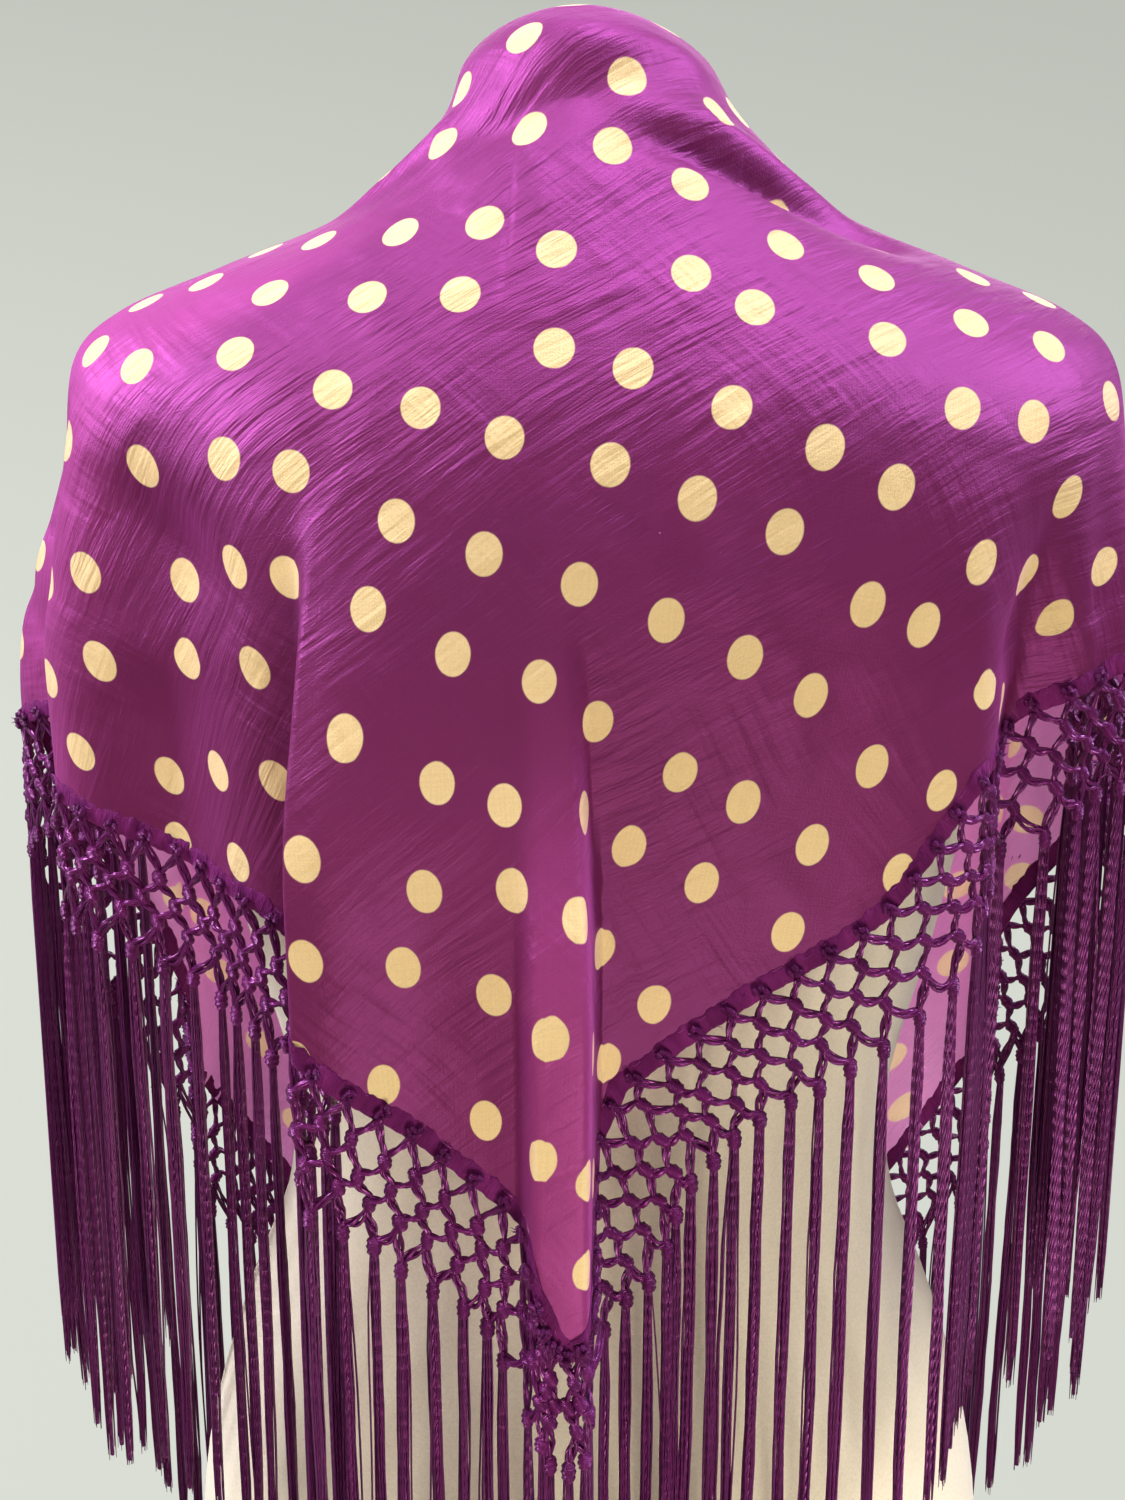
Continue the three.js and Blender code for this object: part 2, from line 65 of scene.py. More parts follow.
# top angle, low angle, half width of a flat crest, out, reach left, reach right, lean, z start, z full
FOLDS = [
    (-26, -21.5, 0.8, 40, 3.6, 19, -13, -150, -300), (-3.5, -2.6, 0, 30, 13, 2.6, 6, -190, -345), (-3.4, -3.4, 2.4, 13, 1.6, 1.6, 0, -262, -350),
    (-46, -46, 0, -13, 14, 14, 0, -120, -220), (-64, -64, 0, 10, 6, 18, -6, -110, -240), (-79, -79, 0, -24, 8, 9, 0, -125, -260),
    (-98, -98, 0, 34, 12, 15, 0, -120, -280), (-113, -113, 0, -16, 9, 9, 0, -160, -330), (-127, -128, 0, 20, 9, 9, 0, -190, -400),
    (-139, -140, 0, -14, 7, 7, 0, -240, -430), (-149, -151, 0, 12, 8, 7, 0, -240, -480), (49, 49, 0, -22, 11, 8, 0, -150, -260),
    (66, 66, 0, 14, 9, 11, 0, -130, -240), (83, 83, 0, -16, 9, 8, 0, -125, -280), (98, 98, 0, 22, 10, 11, 0, -130, -300),
    (112, 112, 0, -16, 8, 9, 0, -160, -330), (126, 127, 0, 20, 9, 9, 0, -190, -400), (138, 139, 0, -14, 7, 7, 0, -240, -430),
    (149, 151, 0, 12, 7, 8, 0, -240, -480)]
# z, half, back, front
FORM = np.array([
    (-17, 24, 26, 24), (-21, 34, 36, 34), (-29, 40, 42, 41), (-42, 46, 49, 50), (-56, 51, 55, 55), (-68, 62, 64, 58),
    (-84, 90, 78, 64), (-104, 133, 94, 73), (-122, 168, 107, 85), (-142, 187, 118, 97), (-172, 189, 125, 112),
    (-205, 180, 127, 128), (-250, 167, 125, 136), (-300, 156, 117, 138), (-365, 143, 104, 122), (-440, 127, 95, 106),
    (-485, 131, 97, 106), (-545, 153, 108, 112), (-610, 171, 118, 116), (-680, 177, 122, 118), (-770, 172, 120, 115),
    (-870, 162, 114, 109), (-955, 156, 110, 105)], float)
FORM_POWER = 2.25


# ------------------------------------------------------------------ small helpers
def smooth(v):
    v = np.clip(v, 0, 1)
    return v * v * (3 - 2 * v)


def curve(xs, ys, x):
    h = np.diff(xs); d = np.diff(ys) / h
    m = np.empty_like(ys); m[0], m[-1] = d[0], d[-1]
    m[1:-1] = (d[:-1] * h[1:] + d[1:] * h[:-1]) / (h[:-1] + h[1:])
    i = np.clip(np.searchsorted(xs, x, side="right") - 1, 0, len(xs) - 2)
    s = (x - xs[i]) / h[i]
    return ((2 * s**3 - 3 * s**2 + 1) * ys[i] + (s**3 - 2 * s**2 + s) * h[i] * m[i]
            + (-2 * s**3 + 3 * s**2) * ys[i + 1] + (s**3 - s**2) * h[i] * m[i + 1])


def unit(v):
    return v / np.maximum(np.linalg.norm(v, axis=-1, keepdims=True), 1e-12)


def mesh_object(name, verts_mm, faces, smooth_shade=True, collection=None):
    """faces: list of integer arrays, each (n, 3) or (n, 4)."""
    me = bpy.data.meshes.new(name)
    v = np.asarray(verts_mm, np.float32).reshape(-1, 3) * MM
    me.vertices.add(len(v)); me.vertices.foreach_set("co", v.ravel())
    faces = [np.asarray(f, np.int32) for f in faces if len(f)]
    loops = np.concatenate([f.ravel() for f in faces])
    totals = np.concatenate([np.full(len(f), f.shape[1], np.int32) for f in faces])
    starts = np.concatenate([[0], np.cumsum(totals)[:-1]]).astype(np.int32)
    me.loops.add(len(loops)); me.loops.foreach_set("vertex_index", loops)
    me.polygons.add(len(totals)); me.polygons.foreach_set("loop_start", starts)
    me.polygons.foreach_set("loop_total", totals)
    me.polygons.foreach_set("use_smooth", np.full(len(totals), smooth_shade, bool))
    me.update(calc_edges=True); me.validate(clean_customdata=False)
    ob = bpy.data.objects.new(name, me)
    bpy.context.scene.collection.objects.link(ob)
    return ob


def point_attribute(ob, name, values):
    values = np.asarray(values, np.float32)
    kind = "FLOAT" if values.ndim == 1 else "FLOAT_VECTOR"
    a = ob.data.attributes.new(name, kind, "POINT")
    a.data.foreach_set("value" if kind == "FLOAT" else "vector", values.ravel())


def grid_faces(rows, cols, start=0, close=False):
    i, j = np.meshgrid(np.arange(rows - 1), np.arange(cols if close else cols - 1), indexing="ij")
    j2 = (j + 1) % cols
    return (start + np.stack([i * cols + j, (i + 1) * cols + j, (i + 1) * cols + j2, i * cols + j2], -1)).reshape(-1, 4)


# ------------------------------------------------------------------ the draped cloth
def cloth(q, t, drop=0.0):
    """Middle of the cloth in mm: q -1..1 from the left front edge to the right one, t 0..2 from the long edge down to the hem."""
    q, t = np.broadcast_arrays(np.asarray(q, float), np.asarray(t, float))
    T = SECTIONS[:, 0]
    half, back, front, zs, zb, zf, eL, eR, xm = (curve(T, SECTIONS[:, k], t) for k in range(1, 10))
    angle = np.where(q < 0, q * eL, q * eR)
    s, c = np.sin(np.radians(angle)), np.cos(np.radians(angle))
    p = 2 + (SECTION_POWER - 2) * smooth((t - 0.3) / 0.4)
    k = (np.abs(s)**p + np.abs(c)**p)**(-1 / p)
    ym = (front - back) / 2 * (1 - smooth((t - 0.2) / 0.35))
    depth = np.where(c >= 0, back + ym, front - ym)
    x0, y0 = half * s * k, -depth * c * k
    wb = np.where(c > 0, c * c, 0); wf = np.where(c > 0, 0, c * c); ws = 1 - wb - wf
    last = SECTIONS[-2]
    top = last[4] * ws + last[5] * wb + last[6] * wf
    z = np.where(t <= 1, zs * ws + zb * wb + zf * wf, top + (np.interp(angle, HEM[:, 0], HEM[:, 1]) - top) * (t - 1))
    nx, ny = x0 / np.maximum(half, 1)**2, y0 / np.maximum(depth, 1)**2
    l = np.hypot(nx, ny) + 1e-9; nx, ny = nx / l, ny / l
    out = np.zeros_like(x0); lean = np.zeros_like(x0)
    for a0, a1, flat, h, wl, wr, ln, z0, z1 in FOLDS:
        down = smooth((z - z0) / (z1 - z0)); at = a0 + (a1 - a0) * down
        w = smooth(1 - np.maximum(np.abs(angle - at) - flat, 0) / np.where(angle < at, wl, wr)) * down
        out += h * w; lean += ln * w
    return np.stack([xm + x0 + nx * out - ny * lean, y0 + ym + ny * out + nx * lean, CROWN_Z + z - drop], -1)


def steep_columns(count):
    """Column positions over q, closer together on the steep sides of the two back folds."""
    a = np.linspace(-LOW_EDGE, LOW_EDGE, 6001)
    w = np.ones_like(a)
    for mid, half, gain in ((-24.2, 3.4, 4.5), (0.2, 2.6, 5.0), (-6.8, 2.0, 6.0), (-1.2, 1.6, 3.0), (-21.0, 3.0, 1.5)):
        w += gain * np.exp(-((a - mid) / half)**2)
    cum = np.concatenate([[0], np.cumsum((w[1:] + w[:-1]) / 2)]); cum /= cum[-1]
    q = np.interp(np.linspace(0, 1, count), cum, a) / LOW_EDGE
    return q


def flatten(P):
    """Lays a grid of points out flat with as little stretch as it can (as rigid as possible). Returns the flat grid in mm."""
    m, n = P.shape[:2]
    V = P.reshape(-1, 3); idx = np.arange(m * n).reshape(m, n)
    A, B, C, D = idx[:-1, :-1].ravel(), idx[:-1, 1:].ravel(), idx[1:, 1:].ravel(), idx[1:, :-1].ravel()
    F = np.concatenate([np.stack([A, D, C], 1), np.stack([A, C, B], 1)])
    a, b, c = V[F[:, 0]], V[F[:, 1]], V[F[:, 2]]
    e = b - a; L = np.linalg.norm(e, axis=1) + 1e-9; x1 = e / L[:, None]
    nn = np.cross(e, c - a); nn /= np.linalg.norm(nn, axis=1)[:, None] + 1e-9
    y1 = np.cross(nn, x1)
    X = np.stack([np.zeros((len(F), 2)), np.stack([L, 0 * L], 1), np.stack([((c - a) * x1).sum(1), ((c - a) * y1).sum(1)], 1)], 1)
    N = len(V); M = np.zeros((N, N)); cots = []
    for k in range(3):
        i, j = (k + 1) % 3, (k + 2) % 3
        u, v = X[:, i] - X[:, k], X[:, j] - X[:, k]
        w = np.clip((u * v).sum(1) / np.maximum(np.abs(u[:, 0] * v[:, 1] - u[:, 1] * v[:, 0]), 1e-9), 0.05, 5); cots.append(w)
        fi, fj = F[:, i], F[:, j]
        np.add.at(M, (fi, fj), -w); np.add.at(M, (fj, fi), -w); np.add.at(M, (fi, fi), w); np.add.at(M, (fj, fj), w)
    M[0, :] = 0; M[0, 0] = 1
    inv = np.linalg.inv(M)
    step = np.linalg.norm(np.diff(P, axis=0), axis=2)
    s = np.concatenate([np.full((1, n), np.linalg.norm(P[0] - P[0].mean(0), axis=-1).mean())[None][0], step], 0).cumsum(0)
    ang = np.linspace(-1, 1, n)[None] * math.radians(92)
    uv = np.stack([s * np.sin(ang), -s * np.cos(ang)], -1).reshape(-1, 2)
    for _ in range(40):
        U = uv[F]; S = np.zeros((len(F), 2, 2))
        for k in range(3):
            i, j = (k + 1) % 3, (k + 2) % 3
            S += cots[k][:, None, None] * np.einsum("fi,fj->fij", X[:, i] - X[:, j], U[:, i] - U[:, j])
        aa, bb = S[:, 0, 0] + S[:, 1, 1], S[:, 0, 1] - S[:, 1, 0]; r = np.hypot(aa, bb) + 1e-12
        R = np.empty((len(F), 2, 2)); R[:, 0, 0] = aa / r; R[:, 0, 1] = bb / r; R[:, 1, 0] = -bb / r; R[:, 1, 1] = aa / r
        rhs = np.zeros((N, 2))
        for k in range(3):
            i, j = (k + 1) % 3, (k + 2) % 3
            d = cots[k][:, None] * np.einsum("fi,fij->fj", X[:, i] - X[:, j], R)
            np.add.at(rhs, F[:, i], d); np.add.at(rhs, F[:, j], -d)
        rhs[0] = uv[0]
        uv = inv @ rhs
    g = uv.reshape(m, n, 2)
    an = math.atan2(*(g[-1, -1] - g[-1, 0])[::-1]); co, si = math.cos(an), math.sin(an)
    g = (g - g[0].mean(0)) @ np.array([[co, -si], [si, co]])
    return g



COLS, ROWS = ((330, 140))
Q = steep_columns(COLS)
# rows evenly spaced down the cloth
tt = np.linspace(0, 2, 1201)
down_lengths = sum(np.concatenate([[0], np.cumsum(np.linalg.norm(np.diff(cloth(q0, tt), axis=0), axis=1))]) for q0 in (-0.06, 0.3))
T_ROWS = np.interp(np.linspace(0, down_lengths[-1], ROWS + 1), down_lengths, tt)[1:]
QQ, TT = np.meshgrid(Q, T_ROWS)

# flat layout on a coarser grid, then read back on the fine one
qc = steep_columns(85)
tc = np.interp(np.linspace(0, down_lengths[-1], 31), down_lengths, tt); tc[0] = 0.004
flat_c = flatten(cloth(*np.meshgrid(qc, tc)))


def flat_at(q, t):
    """Flat coordinates in mm (u across, v up from the middle of the long edge) at each q and t of a grid."""
    first = np.stack([np.stack([curve(qc, flat_c[i, :, k], q) for k in (0, 1)], -1) for i in range(len(tc))])
    out = np.empty((len(t), len(q), 2))
    i = np.clip(np.searchsorted(tc, t, side="right") - 1, 0, len(tc) - 2)
    m = np.gradient(first, tc, axis=0)
    h = (tc[i + 1] - tc[i])[:, None, None]; s = ((t - tc[i]) / (tc[i + 1] - tc[i]))[:, None, None]
    out = ((2 * s**3 - 3 * s**2 + 1) * first[i] + (s**3 - 2 * s**2 + s) * h * m[i]
           + (-2 * s**3 + 3 * s**2) * first[i + 1] + (s**3 - s**2) * h * m[i + 1])
    return out


# soft creases, ridges and troughs on the cloth, each a chain of points in flat mm: u, v, width, height (outward)
CREASES = {
    "centre_press": [(-24, -86, 1.4, 0), (-24, -120, 1.4, -0.55), (-23, -180, 1.4, -0.5), (-23, -214, 1.4, 0)],
    "left_press": [(-158, -178, 1.3, 0), (-120, -222, 1.2, 0.5), (-84, -263, 1.2, 0)],
    "mid_press_a": [(-12, -236, 1.6, 0), (20, -254, 1.8, -0.9), (58, -272, 1.6, 0)],
    "mid_press_b": [(22, -226, 1.4, 0), (36, -262, 1.6, 0.8), (26, -292, 1.4, 0)],
    "mid_press_c": [(64, -236, 1.3, 0), (50, -266, 1.4, -0.6), (20, -296, 1.3, 0)],
    "fold_top_press": [(-92, -264, 1.5, 0), (-76, -284, 1.6, 0.8), (-58, -303, 1.4, 0)],
    "nape_trough": [(-52, -106, 10, 0), (-30, -97, 11, -4.5), (2, -91, 10, -4.5), (24, -84, 9, -1.5), (44, -74, 8, 0)],
    "nape_ridge": [(-30, -64, 9, 0), (6, -70, 9, 2.2), (36, -66, 8, 2.0), (60, -58, 8, 0)],
    "collar_ridge": [(4, -100, 7, 0), (28, -97, 7, 2.5), (48, -92, 7, 3.5), (70, -90, 7, 3.0), (94, -92, 8, 2.5), (130, -90, 12, 0)],
    "collar_hollow": [(14, -113, 6, 0), (34, -108, 7, -5), (56, -106, 7.5, -10), (80, -107, 8, -14), (108, -110, 10, -10), (150, -112, 14, 0)],
    "left_collar_fold": [(-52, -66, 7, 0), (-62, -80, 6, 3.0), (-88, -86, 6, 3.2), (-120, -96, 8, 0)],
    "left_collar_dip": [(-66, -62, 8, 0), (-84, -70, 9, -4.0), (-116, -78, 12, 0)],
    "left_arm_hollow": [(-188, -214, 18, 0), (-166, -238, 17, -5.5), (-140, -268, 14, -3), (-120, -296, 12, 0)],
    "left_arm_swell": [(-205, -262, 16, 0), (-178, -284, 18, 3.5), (-150, -310, 14, 0)],
    "right_blade_swell": [(30, -196, 26, 0), (74, -216, 26, 2.6), (120, -236, 22, 0)],
    "right_low_ripple_a": [(84, -366, 3.5, 0), (100, -376, 4.0, 1.0), (118, -392, 3.5, 0)],
    "right_low_ripple_b": [(66, -352, 3.0, 0), (84, -372, 3.4, -0.9), (98, -396, 3.0, 0)],
    "right_mid_ripple": [(78, -282, 4, 0), (90, -312, 4, 1.0), (96, -346, 4, 0)],
    "right_arm_ripple": [(176, -214, 6, 0), (186, -262, 6, -1.8), (184, -316, 6, 0)],
    "front_left_ripple": [(-420, -60, 9, 0), (-450, -130, 9, 2.5), (-470, -210, 9, 0)],
    "front_right_ripple": [(430, -70, 9, 0), (455, -140, 9, 2.2), (466, -215, 9, 0)],
    "side_left_ripple": [(-300, -120, 8, 0), (-306, -190, 8, -2.2), (-300, -260, 8, 0)],
    "side_right_ripple": [(290, -110, 8, 0), (300, -180, 8, -2.2), (306, -250, 8, 0)],
}


def crease_height(uv):
    h = np.zeros(uv.shape[:-1])
    for chain in CREASES.values():
        c = np.array(chain, float); best = np.full(h.shape, 1e9); val = np.zeros(h.shape)
        for a, b in zip(c[:-1], c[1:]):
            d = b[:2] - a[:2]
            s = np.clip(((uv - a[:2]) @ d) / (d @ d), 0, 1)
            r = np.linalg.norm(uv - (a[:2] + s[..., None] * d), axis=-1)
            e = smooth(s) if a[3] * b[3] == 0 else s
            w = a[2] + (b[2] - a[2]) * s; hh = a[3] + (b[3] - a[3]) * e
            near = r < best
            best = np.where(near, r, best); val = np.where(near, hh * np.exp(-(r / w)**2), val)
        h += val
    return h


def clear_of_form(P, N):
    """Lifts the cloth along its normals where a crease would dip into the form."""
    for _ in range(12):
        z = np.clip(P[..., 2] - CROWN_Z, -955, -17)
        a, b, f = (curve(FORM[::-1, 0], FORM[::-1, k], z) for k in (1, 2, 3))
        d = np.where(P[..., 1] < 0, b, f)
        r = ((np.abs(P[..., 0]) / a)**FORM_POWER + (np.abs(P[..., 1]) / d)**FORM_POWER)**(1 / FORM_POWER)
        m = np.minimum(a, d)
        lack = np.clip((1 + 1.6 / m - r) * m, 0, 4) * (P[..., 2] < CROWN_Z - 20)
        P = P + N * (0.4 * lack)[..., None]
    return P


def surface(q, t):
    """Points, outward normals and flat coordinates of the draped cloth with its creases, on the grid t x q."""
    P = cloth(*np.meshgrid(q, t)); F = flat_at(q, t)
    def normals(P):
        a = np.gradient(P, axis=1); b = np.gradient(P, axis=0)
        return unit(np.cross(b, a))
    N = normals(P)
    P = P + N * crease_height(F)[..., None]
    P = clear_of_form(P, N)
    return P, normals(P), F


P, N, FLAT = surface(Q, T_ROWS)
HEM_DISTANCE = np.linalg.norm(np.diff(P[::-1], axis=0), axis=-1).cumsum(0)[::-1]
HEM_DISTANCE = np.concatenate([HEM_DISTANCE, np.zeros((1, COLS))])


def shell():
    """The cloth: outer and inner faces 0.6 mm apart, closed at the rims and at the middle of the long edge."""
    wall = 0.3
    apex = cloth(0.0, 0.0)
    outer, inner = P + N * wall, P - N * wall
    m, n = ROWS, COLS
    verts = np.concatenate([outer.reshape(-1, 3), inner.reshape(-1, 3), [apex + (0, 0, wall)], [apex - (0, 0, wall)]])
    f_out = grid_faces(m, n); f_in = grid_faces(m, n, m * n)[:, ::-1]
    top_o, top_i = 2 * m * n, 2 * m * n + 1
    j = np.arange(n - 1)
    fan_o = np.stack([np.full(n - 1, top_o), j, j + 1], -1); fan_i = np.stack([np.full(n - 1, top_i), m * n + j + 1, m * n + j], -1)
    e = (m - 1) * n
    rim_low = np.stack([e + j, m * n + e + j, m * n + e + j + 1, e + j + 1], -1)
    i = np.arange(m - 1) * n
    rim_l = np.stack([i, m * n + i, m * n + i + n, i + n], -1)
    r = i + n - 1
    rim_r = np.stack([r, r + n, m * n + r + n, m * n + r], -1)
    cap = np.array([[top_o, top_i, m * n, 0], [top_o, n - 1, m * n + n - 1, top_i]])
    ob = mesh_object("shawl_cloth", verts, [f_out, f_in, rim_low, rim_l, rim_r, cap, fan_o, fan_i])
    me = ob.data
    mats = np.zeros(len(me.polygons), np.int32)
    mats[len(f_out):len(f_out) + len(f_in)] = 1
    a = len(f_out) + len(f_in) + len(rim_low) + 2 * len(rim_l) + 2 + len(fan_o)
    mats[a:] = 1
    flat = FLAT.reshape(-1, 2); mid = flat_c[0].mean(0)
    uv_all = np.concatenate([flat, flat, [mid], [mid]]) * 0.01          # 1 = 100 mm
    hem = HEM_DISTANCE.reshape(-1)
    hem_all = np.concatenate([hem, hem, [500.0, 500.0]]) * 0.01
    # painted light: where the cloth hangs clear of the form it passes more light, so a paler colour is painted in
    # there: the middle fold and the hanging arms
    turn = QQ * LOW_EDGE; down = CROWN_Z - P[..., 2]
    painted_glow = 0.78 * smooth((turn + 8.4) / 3.0) * (1 - smooth((turn + 1.5) / 1.3)) * smooth((down - 205) / 110)
    painted_glow = np.maximum(painted_glow, 0.80 * smooth((turn + 104) / 14) * (1 - smooth((turn + 66) / 14)) * smooth((down - 60) / 50))
    painted_glow = np.maximum(painted_glow, 0.16 * smooth((turn - 14) / 14) * (1 - smooth((turn - 42) / 12)) * smooth((down - 190) / 70))
    painted_glow = np.maximum(painted_glow, 0.16 * smooth((turn + 62) / 14) * (1 - smooth((turn + 8) / 8)) * smooth((down - 200) / 90)).reshape(-1)
    painted_glow_all = np.concatenate([painted_glow, painted_glow * 0, [0.0, 0.0]])
    loops = np.empty(len(me.loops), np.int32); me.loops.foreach_get("vertex_index", loops)
    # the edge layer carries the distance to the hem and the painted glow weight
    for name, data in (("flat", uv_all), ("edge", np.stack([hem_all, painted_glow_all], -1))):
        layer = me.uv_layers.new(name=name)
        layer.uv.foreach_set("vector", data[loops].astype(np.float32).ravel())
    return ob, mats


# ------------------------------------------------------------------ cords, knots and strands
class Cords:
    """Collects tubes and knots as one mesh, with a UV layer: around, along (mm)."""
    def __init__(self):
        self.v, self.f, self.uv, self.n = [], [], [], 0

    def tubes(self, line, radius, ref, sides=5, flat=1.0, cap=False, shade=0.0):
        """line (m, n, 3); radius (m, n) or number; ref (m, 3) or (m, n, 3), the direction that faces out."""
        line = np.asarray(line, float); m, n = line.shape[:2]
        radius = np.broadcast_to(np.asarray(radius, float), (m, n)) if np.ndim(radius) != 1 else np.broadcast_to(np.asarray(radius, float)[:, None], (m, n))
        ref = np.asarray(ref, float)
        if ref.ndim == 2:
            ref = ref[:, None]
        tan = unit(np.gradient(line, axis=1))
        side = unit(np.cross(tan, np.broadcast_to(ref, line.shape)))
        up = np.cross(side, tan)
        a = np.arange(sides) / sides * 2 * np.pi
        ring = side[:, :, None] * np.cos(a)[None, None, :, None] + up[:, :, None] * (np.sin(a) * flat)[None, None, :, None]
        v = line[:, :, None] + ring * radius[:, :, None, None]
        base = self.n + (np.arange(m) * n * sides)[:, None]
        f = grid_faces(n, sides, close=True)[:, ::-1]
        self.f.append((base[:, :, None] + f[None]).reshape(-1, 4))
        if cap:
            ends = self.n + np.arange(m)[:, None] * n * sides + (n - 1) * sides
            if sides == 3:
                self.f.append(ends + np.array([[2, 1, 0]])[:, ::-1])
        length = np.concatenate([np.zeros((m, 1)), np.linalg.norm(np.diff(line, axis=1), axis=-1).cumsum(1)], 1)
        around = np.broadcast_to(np.arange(sides) / sides, (m, n, sides))
        along = np.broadcast_to(length[:, :, None], (m, n, sides))
        shade = np.broadcast_to(np.asarray(shade, float).reshape(-1, 1, 1), (m, n, sides)) if np.ndim(shade) else np.full((m, n, sides), float(shade))
        self.uv.append(np.stack([around, along, shade], -1).reshape(-1, 3))
        self.v.append(v.reshape(-1, 3)); self.n += m * n * sides

    def knots(self, centre, axis, out, length, width, around=8, along=7, turns=2.3, ridge=0.09, shade=0.0):
        """Spindle-shaped wrapped knots, with the wraps as slanting ridges."""
        m = len(centre)
        s = (np.arange(along) + 0.5) / along * 2 - 1
        s = np.sign(s) * np.abs(s)**0.9
        prof = np.sqrt(np.clip(1 - np.abs(s)**2.6, 0.02, 1))
        a = np.arange(around) / around * 2 * np.pi
        axis = unit(axis); side = unit(np.cross(axis, out)); up = np.cross(side, axis)
        length = np.broadcast_to(length, (m,)); width = np.broadcast_to(width, (m,))
        r = prof[None, :, None] * (1 + ridge * np.cos(2 * a[None, None, :] + s[None, :, None] * turns * np.pi))
        v = (centre[:, None, None] + axis[:, None, None] * (s[None, :, None, None] * length[:, None, None, None] / 2)
             + side[:, None, None] * (r * np.cos(a) * width[:, None, None] / 2)[..., None]
             + up[:, None, None] * (r * np.sin(a) * width[:, None, None] / 2 * 0.86)[..., None])
        tips = np.stack([centre - axis * length[:, None] / 2, centre + axis * length[:, None] / 2], 1)
        k = along * around + 2
        allv = np.concatenate([v.reshape(m, -1, 3), tips], 1)
        base = self.n + (np.arange(m) * k)[:, None, None]
        f = grid_faces(along, around, close=True)[:, ::-1]
        j = np.arange(around); j2 = (j + 1) % around
        lo = np.stack([np.full(around, along * around), j, j2], -1)
        hi = np.stack([np.full(around, along * around + 1), (along - 1) * around + j2, (along - 1) * around + j], -1)
        self.f.append((base + f[None]).reshape(-1, 4))
        self.f.append((base + lo[None]).reshape(-1, 3)[:, ::-1]); self.f.append((base + hi[None]).reshape(-1, 3)[:, ::-1])
        au = np.broadcast_to((a / (2 * np.pi))[None, :] + s[:, None] * 0.5 * turns, (along, around)).reshape(-1)
        al = np.broadcast_to(s[:, None], (along, around)).reshape(-1)
        one = np.stack([np.concatenate([au, [0, 0]]), np.concatenate([al, [-1, 1]])], -1)
        uv = np.broadcast_to(one[None] * [1, 1], (m, k, 2))
        uv = np.concatenate([uv, np.broadcast_to(np.reshape(np.broadcast_to(shade, (m,)), (m, 1, 1)), (m, k, 1))], -1)
        uv = uv * [1, 4, 1]
        self.uv.append(uv.reshape(-1, 3)); self.v.append(allv.reshape(-1, 3)); self.n += m * k

    def object(self, name):
        quads = [f for f in self.f if f.shape[1] == 4]; tris = [f for f in self.f if f.shape[1] == 3]
        ob = mesh_object(name, np.concatenate(self.v), quads + tris)
        me = ob.data
        loops = np.empty(len(me.loops), np.int32); me.loops.foreach_get("vertex_index", loops)
        uv = np.concatenate(self.uv)
        layer = me.uv_layers.new(name="cord"); layer.uv.foreach_set("vector", uv[loops][:, :2].astype(np.float32).ravel())
        layer = me.uv_layers.new(name="shade")
        layer.uv.foreach_set("vector", np.stack([uv[loops][:, 2], 0 * uv[loops][:, 2]], -1).astype(np.float32).ravel())
        return ob


def blend(a, b, s):
    return a + (b - a) * s


class Hem:
    """One side's hem, laid out from the point of the shawl out to the front corner, and what hangs plumb from it."""
    def __init__(self, sign):
        q_tip = TIP_ANGLE / LOW_EDGE
        self.sign = sign
        q = np.linspace(q_tip, sign * 1.0, 3001)
        p = cloth(q, 2.0)
        step = np.linalg.norm(np.diff(p, axis=0), axis=1); self.s = np.concatenate([[0], step.cumsum()])
        plan = np.linalg.norm(np.diff(p[:, :2], axis=0), axis=1); self.plan = np.concatenate([[0], plan.cumsum()])
        self.p, self.q, self.length = p, q, self.s[-1]
        grid = np.arange(0, self.plan[-1], 0.5)
        z = np.interp(grid, self.plan, p[:, 2])
        slope = np.arctan2(np.gradient(z), 0.5)
        k = np.exp(-(np.arange(-60, 61) * 0.5 / 13.0)**2); k /= k.sum()
        slope = np.convolve(np.pad(slope, 60, mode="edge"), k, mode="valid")
        self.slope_grid, self.slope = grid, slope

    def point(self, plan, z):
        over = np.maximum(plan - self.plan[-1], 0)
        x = np.interp(plan, self.plan, self.p[:, 0]); y = np.interp(plan, self.plan, self.p[:, 1])
        end = unit(self.p[-1, :2] - self.p[-8, :2])
        return np.stack([x + end[0] * over, y + end[1] * over, z], -1)

    def out(self, plan, reach=1.5):
        a = self.point(np.maximum(plan - reach, 0), 0 * plan); b = self.point(plan + reach, 0 * plan)
        d = unit(b - a)
        return np.stack([d[..., 1], -d[..., 0], 0 * d[..., 0]], -1) * self.sign

    def at(self, s, depth, share):
        """Place on the hanging net: s along the hem, depth along the net's own direction. share is how far that follows the hem."""
        plan = np.interp(s, self.s, self.plan); z = np.interp(s, self.s, self.p[:, 2])
        lean = np.interp(plan, self.slope_grid, self.slope) * share * smooth((s - 8.0) / 34.0)
        lean = np.clip(lean, -0.9, 0.9)
        return plan + depth * np.sin(lean), z - depth * np.cos(lean), lean


PITCH = 13.7
# side, depths of the rows of small knots, reach to the last knots, how far the rows and the last drop follow the hem
NETS = {"left": dict(sign=-1, rows=(12.0, 21.0, 29.8), reach=47.5, share=0.52, last=0.16),
        "right": dict(sign=1, rows=(9.6, 19.6, 29.0), reach=45.0, share=1.08, last=0.20)}


